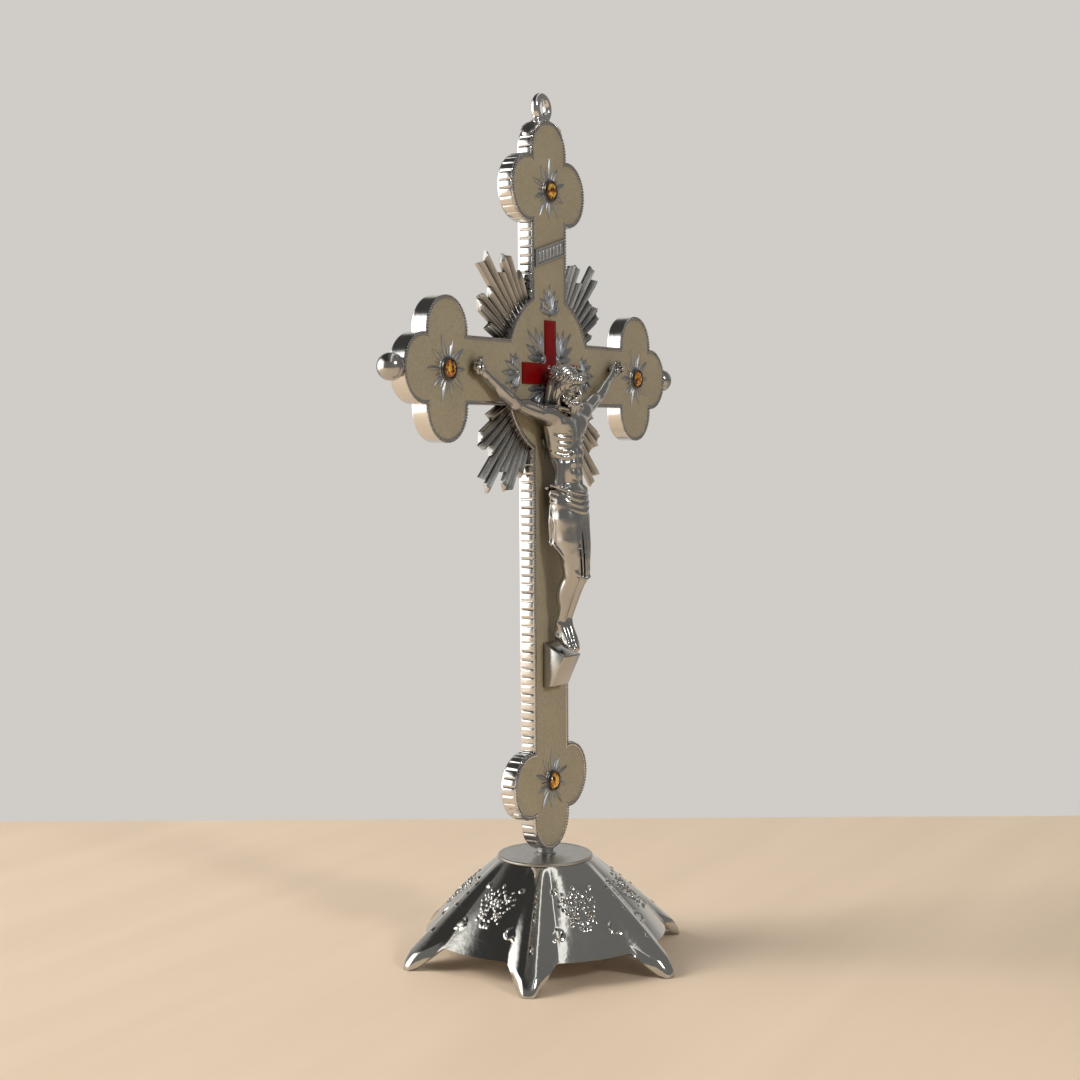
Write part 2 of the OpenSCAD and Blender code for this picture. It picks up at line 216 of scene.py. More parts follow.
def red_enamel(name):
    """Deep red enamel under a clear coat, faintly cloudy."""
    made = Shader(name, Specular_IOR_Level=0.14, Coat_Weight=0.06, Coat_Roughness=0.2)
    clouds = made.ramp(made.noise(0.004, 4), [(0.3, (0.19, 0.001, 0.002)), (0.7, (0.28, 0.002, 0.003))])
    made.feed(clouds, "Base Color")
    made.feed(made.range(made.noise(0.0012, 4), 0.22, 0.4), "Roughness")
    made.bump(made.noise(0.0016, 3), 0.00002)
    return made.material


def amber_glass(name):
    """Foil-backed amber glass under a hard clear coat, its colour painted with glints and shade: blotches
    from dark brown through honey to bright yellow.
    """
    made = Shader(name, Metallic=0.35, Coat_Weight=1.0, Coat_Roughness=0.02, IOR=1.55)
    # Painted glints and shade: noise blotches of near-black and bright yellow stand in for the stone's
    # reflections.
    painted_glints_and_shade = [(0.36, (0.05, 0.012, 0.001)), (0.47, (0.5, 0.13, 0.003)),
              (0.56, (0.95, 0.42, 0.01)), (0.68, (1.0, 0.7, 0.08))]
    made.feed(made.ramp(made.noise(0.0011, 1), painted_glints_and_shade), "Base Color")
    made.feed(made.range(made.noise(0.001, 2), 0.06, 0.16), "Roughness")
    made.bump(made.noise(0.0009, 1), 0.00006)
    return made.material


chrome = plated_metal("frame_chrome", (0.77, 0.765, 0.755), (0.06, 0.056, 0.052), 0.12,
                      casting=0.00005, hollow=0.0005)
knob_metal = plated_metal("knob_chrome", (0.55, 0.545, 0.53), (0.05, 0.045, 0.04), 0.16)
rim_metal = plated_metal("rim_antique", (0.34, 0.335, 0.32), (0.05, 0.045, 0.04), 0.3)
figure_metal = plated_metal("figure_chrome", (0.54, 0.54, 0.53), (0.04, 0.036, 0.032), 0.16, hollow=0.0016)
base_metal = plated_metal("base_chrome", (0.62, 0.615, 0.59), (0.06, 0.055, 0.05), 0.1, casting=0.00005)
cap_metal = plated_metal("cap_satin", (0.52, 0.51, 0.49), (0.1, 0.09, 0.08), 0.3)
cup_metal = plated_metal("cup_metal", (0.2, 0.17, 0.14), (0.02, 0.015, 0.01), 0.3)
silver = plated_metal("antique_silver", (0.42, 0.44, 0.47), (0.1, 0.1, 0.11), 0.38)
ray_metal = brushed_metal("ray_metal", (0.6, 0.605, 0.6), (0.07, 0.066, 0.06), 0.3, 2)
plaque_metal = plated_metal("plaque_silver", (0.62, 0.63, 0.64), (0.01, 0.011, 0.013), 0.42, hollow=0.0024)
steel = plated_metal("fixing_steel", (0.5, 0.5, 0.5), (0.08, 0.07, 0.06), 0.3)
face_resin = panel_resin("face_resin")
enamel = red_enamel("red_enamel")
amber = amber_glass("stone_amber")

# ---- Mesh helpers ----


def mesh_object(name, points, faces, material, slot, nodes=(), smooth=35):
    """A mesh in millimetres made into a finished piece that rides on the root body."""
    mesh = bpy.data.meshes.new(name)
    mesh.from_pydata((np.asarray(points, float) * MM).tolist(), [], [list(f) for f in faces])
    mesh.validate()
    mesh.materials.append(material)
    made = bpy.data.objects.new(name, mesh)
    bpy.context.scene.collection.objects.link(made)
    mesh.polygons.foreach_set("use_smooth", [True] * len(mesh.polygons))
    if smooth < 180:
        mesh.set_sharp_from_angle(angle=math.radians(smooth))
    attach(made, "root")
    if nodes:
        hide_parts(*nodes)
    return made


class Heap:
    """Many small shells gathered into one mesh."""

    def __init__(self):
        self.points, self.faces, self.count = [], [], 0

    def add(self, points, faces):
        self.points.append(np.asarray(points, float))
        self.faces += [[self.count + i for i in face] for face in faces]
        self.count += len(points)

    def merged(self):
        return np.vstack(self.points), self.faces


def ring_faces(levels, turns):
    """Quads between rings of turns points each, with a lid on the first and the last."""
    faces = []
    for j in range(levels - 1):
        for i in range(turns):
            k = (i + 1) % turns
            faces.append((j * turns + i, j * turns + k, (j + 1) * turns + k, (j + 1) * turns + i))
    faces.append(tuple(range(turns))[::-1])
    faces.append(tuple(range((levels - 1) * turns, levels * turns)))
    return faces


def wrapped_faces(levels, turns):
    """Quads between rings of turns points each, with the last ring joined to the first."""
    faces = []
    for j in range(levels):
        k = (j + 1) % levels
        for i in range(turns):
            n = (i + 1) % turns
            faces.append((j * turns + i, k * turns + i, k * turns + n, j * turns + n))
    return faces


def full_turn(count):
    """count angles spaced evenly round a circle."""
    return np.linspace(0, 2 * math.pi, count, endpoint=False)


def lathe(profile, turns):
    """Points and faces of (radius, height) pairs turned about Z. Radius 0 closes an end."""
    points, faces, rows = [], [], []
    for r, z in profile:
        if r < 1e-6:
            rows.append([len(points)])
            points.append((0, 0, z))
        else:
            rows.append(list(range(len(points), len(points) + turns)))
            for i in range(turns):
                a = 2 * math.pi * i / turns
                points.append((r * math.cos(a), r * math.sin(a), z))
    for low, high in zip(rows, rows[1:]):
        for i in range(turns):
            k = (i + 1) % turns
            quad = [low[i % len(low)], low[k % len(low)], high[k % len(high)], high[i % len(high)]]
            face = list(dict.fromkeys(quad))
            if len(face) > 2:
                faces.append(face)
    return np.array(points, float), faces


def turn_to(points, axis, origin=(0, 0, 0)):
    """Points built along +Z, turned so that +Z lies along axis, and moved to origin."""
    turn = np.array(Vector(axis).to_track_quat("Z", "Y").to_matrix())
    return np.asarray(points, float) @ turn.T + np.array(origin, float)


# ---- The outline of the cross ----


def arc(centre, radius, start, end, count):
    """count points on an arc, without its end, and their outward normals."""
    a = np.linspace(start, end, count, endpoint=False)
    way = np.stack([np.cos(a), np.sin(a)], 1)
    return np.array(centre) + radius * way, way


def straight(start, end, normal, count):
    t = np.linspace(0, 1, count, endpoint=False)[:, None]
    return np.array(start) * (1 - t) + np.array(end) * t, np.tile(normal, (count, 1)).astype(float)


def bud_path(distance, reach, grow, density):
    """One arm, pointing up from the crossing: its right edge, three lobes and left edge.
    Gives [(kind, points, normals, length), ...], the same counts whatever grow is."""
    c, r, h, m = reach - LOBE_R, LOBE_R + grow, HALF + grow, MEDALLION_R + grow
    foot = math.sqrt(m * m - h * h)
    side = math.asin(math.sqrt(r * r - (h - c) ** 2) / r)
    meet = (c + math.sqrt(2 * r * r - c * c)) / 2
    high = math.atan2(meet, meet - c)
    neck = distance - r * math.sin(side)
    base_side = math.pi - side if h < c else side
    long, side_arc, tip_arc = distance - 30, LOBE_R * 3.2, LOBE_R * 3.1
    counts = [max(2, round(s * density)) for s in (long, side_arc, tip_arc)]
    sweep = r * (high + base_side)
    parts = [
        ("edge", *straight((h, foot), (h, neck), (1, 0), counts[0]), neck - foot),
        ("side", *arc((c, distance), r, -base_side, high, counts[1]), sweep),
        ("tip", *arc((0, distance + c), r, math.pi / 2 - high, math.pi / 2 + high, counts[2]), r * 2 * high),
        ("side", *arc((-c, distance), r, math.pi - high, math.pi + base_side, counts[1]), sweep),
        ("edge", *straight((-h, neck), (-h, foot), (-1, 0), counts[0]), neck - foot),
    ]
    return parts, math.atan2(foot, h)


ARMS = [
    ("arm", -90, ARM, ARM_REACH),
    ("post", 0, TOP_Z - CROSSING, POST_REACH),
    ("arm", 90, ARM, ARM_REACH),
    ("post", 180, CROSSING - BOTTOM_Z, POST_REACH),
]


def cross_outline(grow, density=5.0):
    """The whole outline, anticlockwise from the front: points, normals, and for each point the
    kind of its stretch, how far along it lies and how long the stretch is."""
    points, normals, kinds, along, lengths = [], [], [], [], []
    for arm, turn, distance, reach in ARMS:
        parts, corner = bud_path(distance, reach, grow, density)
        sweep = math.pi / 2 - 2 * (math.pi / 2 - corner)
        start = math.pi - corner
        field = arc((0, 0), MEDALLION_R + grow, start, start + sweep, round(12 * density))
        parts.append(("field", *field, MEDALLION_R * sweep))
        a = math.radians(turn)
        spin = np.array([[math.cos(a), math.sin(a)], [-math.sin(a), math.cos(a)]])
        for kind, p, n, length in parts:
            points.append(p @ spin)
            normals.append(n @ spin)
            kinds += [f"{arm}_{kind}"] * len(p)
            along.append(np.linspace(0, length, len(p), endpoint=False))
            lengths.append(np.full(len(p), length))
    points, normals = np.vstack(points) + (0, CROSSING), np.vstack(normals)
    return points, normals, np.array(kinds), np.concatenate(along), np.concatenate(lengths)


def half_round(along, length, pitch):
    """Height 0 to 1 of a row of half-rounds that fills length."""
    cells = np.maximum(1, np.round(length / pitch))
    phase = (along / length * cells) % 1.0
    rise = np.clip((1 - np.abs(2 * phase - 1)) / 0.36, 0, 1)
    return rise * rise * (3 - 2 * rise)


def frame_mesh():
    """The cast cross as rings of its outline, from the back recess over the back edge, up the
    reeded wall, over the front rim and down to the pocket's floor."""
    recess, rib_gap = 1.8, 0.5
    profile = [
        (-recess - 0.02, BACK - 0.4, 0), (-recess, BACK - 0.32, 0), (-recess + 0.12, BACK - 0.06, 0),
        (-recess + 0.35, BACK, 0), (-0.35, BACK, 0), (-0.1, BACK - 0.08, 0), (0, BACK - 0.32, 0),
        (0, BACK - rib_gap, 0), (0, BACK - rib_gap - 0.12, 0.8), (0, BACK - rib_gap - 0.3, 1),
        (0, FRONT + rib_gap + 0.3, 1), (0, FRONT + rib_gap + 0.12, 0.8), (0, FRONT + rib_gap, 0),
        (0, FRONT + 0.3, 0), (-0.1, FRONT + 0.08, 0), (-0.32, FRONT, 0), (-RIM + 0.25, FRONT, 0),
        (-RIM + 0.06, FRONT + 0.06, 0), (-RIM, FRONT + 0.22, 0), (-RIM, FRONT + 1.0, 0),
    ]
    rings = []
    for grow, y, share in profile:
        p, n, kinds, along, lengths = cross_outline(grow)
        reeded = np.isin(kinds, ("post_edge", "post_side", "post_tip"))
        relief = np.where(reeded, REED_DEPTH * half_round(along, lengths, REED_PITCH), 0)
        p = p + n * (relief * share)[:, None]
        rings.append(np.column_stack([p[:, 0], np.full(len(p), y), p[:, 1]]))
    turns = len(rings[0])
    faces = [tuple(f[::-1]) for f in ring_faces(len(rings), turns)]
    return np.vstack(rings), faces


mesh_object("cross_casting", *frame_mesh(), chrome, "frame_chrome", ["cross_frame"], smooth=40)


def bead(radius):
    """A small low ball."""
    profile = [(radius * math.sin(a), radius * math.cos(a)) for a in np.linspace(0, math.pi, 5)]
    profile[0], profile[-1] = (0, radius), (0, -radius)
    return lathe(profile, 8)


def bead_row(path, pitch, radius):
    """Balls spaced evenly round a closed path of 3-D points."""
    loop = np.vstack([path, path[:1]])
    step = np.linalg.norm(np.diff(loop, axis=0), axis=1)
    far = np.concatenate([[0], np.cumsum(step)])
    count = max(1, round(far[-1] / pitch))
    at = np.arange(count) * far[-1] / count
    places = np.column_stack([np.interp(at, far, loop[:, k]) for k in range(3)])
    ball, faces = bead(radius)
    heap = Heap()
    for place in places:
        heap.add(ball + place, faces)
    return heap.merged()


def rim_beads():
    """Milled beading along the middle of the front rim."""
    p = cross_outline(-0.3)[0]
    path = np.column_stack([p[:, 0], np.full(len(p), FRONT + 0.02), p[:, 1]])
    return bead_row(path, 0.8, 0.34)


mesh_object("rim_beading", *rim_beads(), rim_metal, "frame_chrome", smooth=180)


def taken_from(work):
    """The points and faces of an edit mesh, which is freed."""
    work.verts.index_update()
    made = np.array([v.co[:] for v in work.verts]), [[v.index for v in f.verts] for f in work.faces]
    work.free()
    return made


def bevelled(points, faces, offset):
    """A closed solid with all its edges rounded by offset."""
    work = bmesh.new()
    verts = [work.verts.new(p) for p in points]
    for face in faces:
        work.faces.new([verts[i] for i in face])
    bmesh.ops.recalc_face_normals(work, faces=work.faces)
    bmesh.ops.bevel(work, geom=work.edges[:], offset=offset, segments=3, profile=0.5, affect="EDGES")
    return taken_from(work)


def convex(points):
    """The convex hull of a few points, as a closed solid."""
    work = bmesh.new()
    for p in points:
        work.verts.new(p)
    bmesh.ops.convex_hull(work, input=work.verts[:])
    bmesh.ops.recalc_face_normals(work, faces=work.faces)
    return taken_from(work)


def lofted(rings):
    """A closed solid through rings of 3-D points, all with the same number of points."""
    return np.vstack(rings), ring_faces(len(rings), len(rings[0]))


def on_face(points, place):
    """Points drawn flat with +Z as height, stood up on the face panel around place (x, z)."""
    p = np.asarray(points, float)
    return np.column_stack([place[0] + p[:, 0], FACE - p[:, 2], place[1] + p[:, 1]])


def spun(points, degrees):
    """Points turned about their own Z, anticlockwise."""
    x, y, z = np.asarray(points, float).T
    cosine, sine = math.cos(math.radians(degrees)), math.sin(math.radians(degrees))
    return np.column_stack([x * cosine - y * sine, x * sine + y * cosine, z])


def flipped(faces):
    return [tuple(face)[::-1] for face in faces]


# ---- Ornaments on the face ----


def plus_ring(half_long, half_wide, height):
    """The twelve corners of a plus, anticlockwise: three corners, turned by quarters."""
    corners, ring = [(half_wide, half_wide), (half_wide, half_long), (-half_wide, half_long)], []
    for quarter in range(4):
        ring += [(x, y, height) for x, y in corners]
        corners = [(-y, x) for x, y in corners]
    return ring


def red_inlay():
    """The enamelled cross: a low tablet with rounded edges and a hairline groove inside its border."""
    reach = box_mm("red_cross_inlay")[1][0]
    wide = reach * 0.196
    levels = [(0, -0.05), (0, 0.3), (0.05, 0.38), (0.15, 0.44), (0.3, 0.46)]
    levels += [(0.42, 0.4), (0.54, 0.4), (0.66, 0.46), (1.2, 0.5)]
    rings = [plus_ring(reach - inset, wide - inset, height) for inset, height in levels]
    points, faces = lofted(rings)
    return on_face(points, (0, CROSSING)), flipped(faces)


mesh_object("red_cross_enamel", *red_inlay(), enamel, "red_enamel", ["red_cross_inlay"], smooth=30)


def leaf(length, width, height):
    """One pointed, domed leaf from the origin along +Y, with a raised midrib and a sunken edge."""
    rings = []
    radius = (length * length + width * width) / (4 * width)
    for t in np.linspace(0.02, 0.98, 12):
        y = t * length
        half = math.sqrt(max(0.0, radius ** 2 - (y - length / 2) ** 2)) - (radius - width / 2)
        swell = math.sin(math.pi * min(1, t * 1.15) ** 0.8) ** 0.5
        ring = []
        for s in np.linspace(-1, 1, 9):
            dome = (1 - abs(s) ** 2.2) * 0.75 + 0.35 * math.exp(-(s / 0.22) ** 2)
            ring.append((half * s, y, height * (0.15 + dome * swell)))
        ring += [(half, y, -0.1), (-half, y, -0.1)]
        rings.append(ring)
    return lofted(rings)


def boss(radius, height):
    """A round button with a low rim around a bead."""
    shares = [(1, 0.45), (0.9, 0.6), (0.74, 0.5), (0.62, 0.35), (0.52, 0.6), (0.32, 0.92), (0, 1)]
    return lathe([(0, -0.1), (radius, -0.1)] + [(radius * a, height * b) for a, b in shares], 24)


def curl(radius, wire, start, sweep):
    """A scroll: a round wire that winds inward and thins."""
    rings = []
    up = np.array([0, 0, 1])
    for t in np.linspace(0, 1, 22):
        a = math.radians(start + sweep * t)
        r, w = radius * (1 - 0.62 * t), wire * (1 - 0.35 * t)
        centre = np.array([r * math.cos(a), r * math.sin(a), wire * 0.35])
        out = np.array([math.cos(a), math.sin(a), 0])
        rings.append([centre + w * (math.cos(b) * out + math.sin(b) * up) for b in full_turn(8)])
    return lofted(rings)


def filigree():
    """Four leafy sprays between the arms of the red cross and four palmettes at its ends."""
    heap = Heap()

    def put(shape, move, turn, height=0.0):
        points, faces = shape
        points = spun(np.asarray(points) + (*move, height), turn)
        heap.add(on_face(points, (0, CROSSING)), flipped(faces))

    for quarter in (0, 90, 180, 270):
        for share in np.linspace(-1, 1, 5):
            long = 11.3 * (1 - 0.3 * abs(share))
            points, faces = leaf(long, 1.9, 0.5)
            put((spun(points, 42 * share), faces), (0, 5.6), quarter + 45)
        for share in np.linspace(-0.75, 0.75, 4):
            points, faces = leaf(5.2, 1.1, 0.62)
            put((spun(points, 42 * share), faces), (0, 6.4), quarter + 45, 0.1)
        put(boss(1.5, 0.75), (0, 5.7), quarter + 45)
        for share in np.linspace(-1, 1, 7):
            long = 8.4 * (1 - 0.32 * abs(share))
            points, faces = leaf(long, 1.7, 0.5)
            put((spun(points, 75 * share), faces), (0, 16.6), quarter)
        for side in (-1, 1):
            points, faces = curl(1.9, 0.42, 90, -430)
            points = points * (side, 1, 1)
            put((points, faces if side > 0 else flipped(faces)), (2.3 * side, 18.2), quarter)
        put(boss(1.35, 0.85), (0, 17.4), quarter)
        put(boss(0.8, 0.7), (0, 21.2), quarter)
    return heap.merged()


mesh_object("filigree_silver", *filigree(), silver, "antique_silver", ["filigree_ornaments"], smooth=50)


def plaque():
    """A slanted tablet: rounded border, sunken ground and a plain row of upright half-round reeds."""
    low, high = box_mm("title_plaque")
    half_w = high[0]
    rise = 0.28 * half_w
    half_h = (high[2] - low[2]) / 2 - rise
    slope = rise / half_w

    def band(inset, height):
        w, h = half_w - inset, half_h - inset
        return [(x, y + slope * x, height) for x, y in ((-w, -h), (w, -h), (w, h), (-w, h))]

    levels = [(0, -0.05), (0, 0.5), (0.08, 0.62), (0.3, 0.66), (0.48, 0.6), (0.56, 0.28), (0.7, 0.26)]
    heap = Heap()
    centre = (0, (low[2] + high[2]) / 2)
    points, faces = lofted([band(i, h) for i, h in levels])
    heap.add(on_face(points, centre), flipped(faces))
    for k in range(-3, 4):
        x = k * 1.85
        rings = []
        for t in np.linspace(-1, 1, 9):
            y = t * (half_h - 0.75) + slope * x
            size = 0.46 * max(0.25, 1 - abs(t) ** 6)
            reed = [(size * math.cos(b), 0.24 + size * 0.85 * math.sin(b)) for b in full_turn(10)]
            rings.append([(x + out, y, up) for out, up in reed])
        points, faces = lofted(rings)
        heap.add(on_face(points, centre), faces)
    return heap.merged()


mesh_object("plaque_reeded", *plaque(), plaque_metal, "antique_silver", ["title_plaque"], smooth=35)


def burst(turn, cup):
    """Ten ridged rays round a stone, broadest past their middle, with needles between them."""
    heap = Heap()
    for k in range(20):
        main = k % 2 == 0
        tip = (8.9 - (k // 2) % 2) if main else 5.6
        stations = [(cup - 0.5, 0.3), (4.2, 0.3), (tip, 0.05)]
        if main:
            stations = [(cup - 0.5, 0.34), (4.0, 0.42), (5.6, 0.72), (tip - 1.3, 0.42), (tip, 0.05)]
        rings = []
        for y, w in stations:
            h = 0.14 + 0.36 * min(1, w / 0.6)
            section = [(-1, -0.05), (1, -0.05), (1, 0.08)]
            section += [(0.5, h * 0.72), (0, h), (-0.5, h * 0.72), (-1, 0.08)]
            rings.append([(x * w, y, z) for x, z in section])
        points, faces = lofted(rings)
        heap.add(spun(points, turn + 18 * k), flipped(faces))
    section = [(-0.35, -0.05), (0.7, -0.05), (0.7, 0.1), (0.45, 0.3), (0.1, 0.34), (-0.35, 0.3)]
    turns = full_turn(48)
    rings = [[((cup + r) * math.cos(a), (cup + r) * math.sin(a), z) for r, z in section] for a in turns]
    heap.add(np.vstack(rings), wrapped_faces(len(rings), len(section)))
    return heap.merged()


def cup_shape(stone_r, cup_r):
    """A turned collar that holds a stone: a stepped foot, a waist and a rolled lip."""
    peg = [(0, -1.9), (0.8, -1.9), (0.8, -0.1)]
    wall = [(0, -0.1), (0.02, 0.2), (-0.12, 0.34), (-0.34, 0.5)]
    wall += [(-0.36, 0.9), (-0.22, 1.1), (-0.28, 1.27), (-0.45, 1.32)]
    seat = [(stone_r + 0.02, 1.24), (stone_r, 0.35), (0, 0.35)]
    return lathe(peg + [(cup_r + out, z) for out, z in wall] + seat, 48)


def stone_shape(r):
    """A round cut stone: girdle, eight kite facets, star facets and a flat table."""
    points = []
    for k in range(16):
        a = math.pi * k / 8
        points += [(r * math.cos(a), r * math.sin(a), 0.36), (r * math.cos(a), r * math.sin(a), 0.95)]
    for k in range(8):
        for a, share, height in ((math.pi * (k + 0.5) / 4, 0.8, 1.42), (math.pi * k / 4, 0.52, 1.7)):
            points.append((r * share * math.cos(a), r * share * math.sin(a), height))
    return convex(points)


for where, turn in (("top", 0), ("left", 18), ("right", 18), ("bottom", 0)):
    centre = middle("stone_" + where)
    place = (centre[0], centre[2])
    stone_r = (box_mm("stone_" + where)[1] - centre)[0]
    cup_r = (box_mm("stone_cup_" + where)[1] - centre)[0]
    for name, shape, material, slot, node, smooth in (
        ("burst_silver_", burst(turn, cup_r), silver, "antique_silver", "starburst_", 25),
        ("cup_turned_", cup_shape(stone_r, cup_r), cup_metal, "cup_metal", "stone_cup_", 35),
        ("stone_cut_", stone_shape(stone_r), amber, "stone_amber", "stone_", 1),
    ):
        points, faces = on_face(shape[0], place), flipped(shape[1])
        mesh_object(name + where, points, faces, material, slot, [node + where], smooth)

# ---- Ray fans ----

RAY_ANGLES = [-21, -16.2, -11.8, -7, -2.4, 2.4, 7, 11.8, 16.2, 21]
RAY_TIPS = [30.5, 36.5, 37.2, 34.4, 42.6, 42.1, 34.4, 37.2, 36.3, 30]


def ray_fan(turn, ridge, back):
    """Ten rays behind the medallion, each a ridge between two flutes with a chipped end."""
    heap = Heap()
    width = 1.25
    face = ridge + 1.0
    flutes = [(1, 0.1), (0.86, -0.14), (0.66, -0.05), (0.5, -0.34), (0.3, -0.42)]
    half = [(1, back)] + [(s, face + out) for s, out in flutes]
    section = [(-s, y) for s, y in half] + [(0, ridge)] + half[::-1]
    for k, (angle, tip) in enumerate(zip(RAY_ANGLES, RAY_TIPS)):
        lean = 0.9 if k % 2 else -0.9
        level = 0.22 * (k % 3 - 1)
        rings = []
        stations = [(MEDALLION_R - 1.2, 0.96, 0), (MEDALLION_R + 5, 0.98, 0)]
        stations += [(tip - 1.6, 1, 0), (tip - 0.5, 1, 0.05), (tip - 0.12, 0.93, 0.28)]
        for radius, squeeze, drop in stations:
            ring = []
            for s, y in section:
                depth = min(back, y + (drop + level * 0.5 if y < back else 0))
                slant = lean * s * max(0.0, (radius - tip + 1.8) / 1.8)
                ring.append((s * width * squeeze, depth, radius + slant * 0.9 - 0.35))
            rings.append(ring)
        points, faces = lofted(rings)
        a = math.radians(turn + angle)
        x = points[:, 0] * math.cos(a) + points[:, 2] * math.sin(a)
        z = -points[:, 0] * math.sin(a) + points[:, 2] * math.cos(a)
        heap.add(np.column_stack([x, points[:, 1], z + CROSSING]), faces)
    return heap.merged()


for where, turn in (("upper_left", -45), ("upper_right", 45), ("lower_left", -135), ("lower_right", 135)):
    node = "ray_fan_" + where
    low, high = box_mm(node)
    mesh_object("rays_" + where, *ray_fan(turn, low[1], high[1]), ray_metal, "ray_metal", [node], smooth=28)

# ---- Foot rest, pins, knobs ----


BLOCK_FALL = 3.7  # from the back to the front edge of the slope


def foot_rest():
    """The sloped block under the feet, its edges softened by casting."""
    low, high = box_mm("foot_block")
    half = high[0]
    section = [(FACE + 0.1, low[2]), (FACE + 0.1, high[2])]
    section += [(low[1], high[2] - BLOCK_FALL), (low[1] + 4, low[2] + 0.4)]
    points = [(x, y, z) for x in (-half, half) for y, z in section]
    faces = [(0, 1, 2, 3), (7, 6, 5, 4), (0, 4, 5, 1), (1, 5, 6, 2), (2, 6, 7, 3), (3, 7, 4, 0)]
    return bevelled(points, faces, 0.32)


mesh_object("foot_rest", *foot_rest(), figure_metal, "figure_chrome", ["foot_block"], smooth=40)


PIN_HEAD_R = 0.9


def pin_heads(node, place):
    """Domed nail heads with a short shank, at each (x, z)."""
    low, high = box_mm(node)
    long = high[1] - low[1]
    profile = [(0, 0), (0.3, 0.03), (0.62, 0.16), (0.86, 0.36), (PIN_HEAD_R, 0.58), (PIN_HEAD_R - 0.08, 0.7)]
    points, faces = lathe(profile + [(0.5, 0.72), (0.5, long), (0, long)], 24)
    heap = Heap()
    for x, z in place:
        heap.add(turn_to(points, (0, 1, 0), (x, low[1], z)), faces)
    return heap.merged()


hand_low, hand_high = box_mm("hand_pins")
palms = [(hand_low + PIN_HEAD_R)[[0, 2]], (hand_high - PIN_HEAD_R)[[0, 2]]]
instep = [middle("foot_pin")[[0, 2]]]
mesh_object("nails_hands", *pin_heads("hand_pins", palms), steel, "fixing_steel", ["hand_pins"])
mesh_object("nail_feet", *pin_heads("foot_pin", instep), steel, "fixing_steel", ["foot_pin"])


def knob(node, side):
    """A turned ball on a stepped neck, with a fine groove round its middle."""
    low, high = box_mm(node)
    edge, tip = ARM + ARM_REACH, (high[0] if side > 0 else -low[0])
    r = (high[2] - low[2]) / 2
    centre = tip - r
    neck = [(0, -3.6), (1, -3.6), (1, -0.3), (2.3, -0.3), (2.45, 0.25), (2.2, 0.6), (1.75, 0.75), (1.6, 0.95)]
    profile = [(wide, edge + out) for wide, out in neck]
    for a in np.linspace(-55, 90, 30):
        groove = 0.16 * math.exp(-((a - 4) / 5) ** 2)
        wide = (r - groove) * math.cos(math.radians(a)) if a < 90 else 0
        profile.append((wide, centre + r * math.sin(math.radians(a))))
    points, faces = lathe(profile, 48)
    return turn_to(points, (side, 0, 0), (0, 0, CROSSING)), faces


for where, side in (("left", -1), ("right", 1)):
    node = "end_knob_" + where
    mesh_object("knob_turned_" + where, *knob(node, side), knob_metal, "frame_chrome", [node])

# ---- Clay: shapes blended together on a grid of distances, then meshed ----


def smin(a, b, k):
    """The nearer of two distances, with a fillet about k wide where they meet."""
    if k <= 0:
        return np.minimum(a, b)
    h = np.maximum(k - np.abs(a - b), 0) / k
    return np.minimum(a, b) - h * h * k * 0.25


def smax(a, b, k):
    return -smin(-a, -b, k)


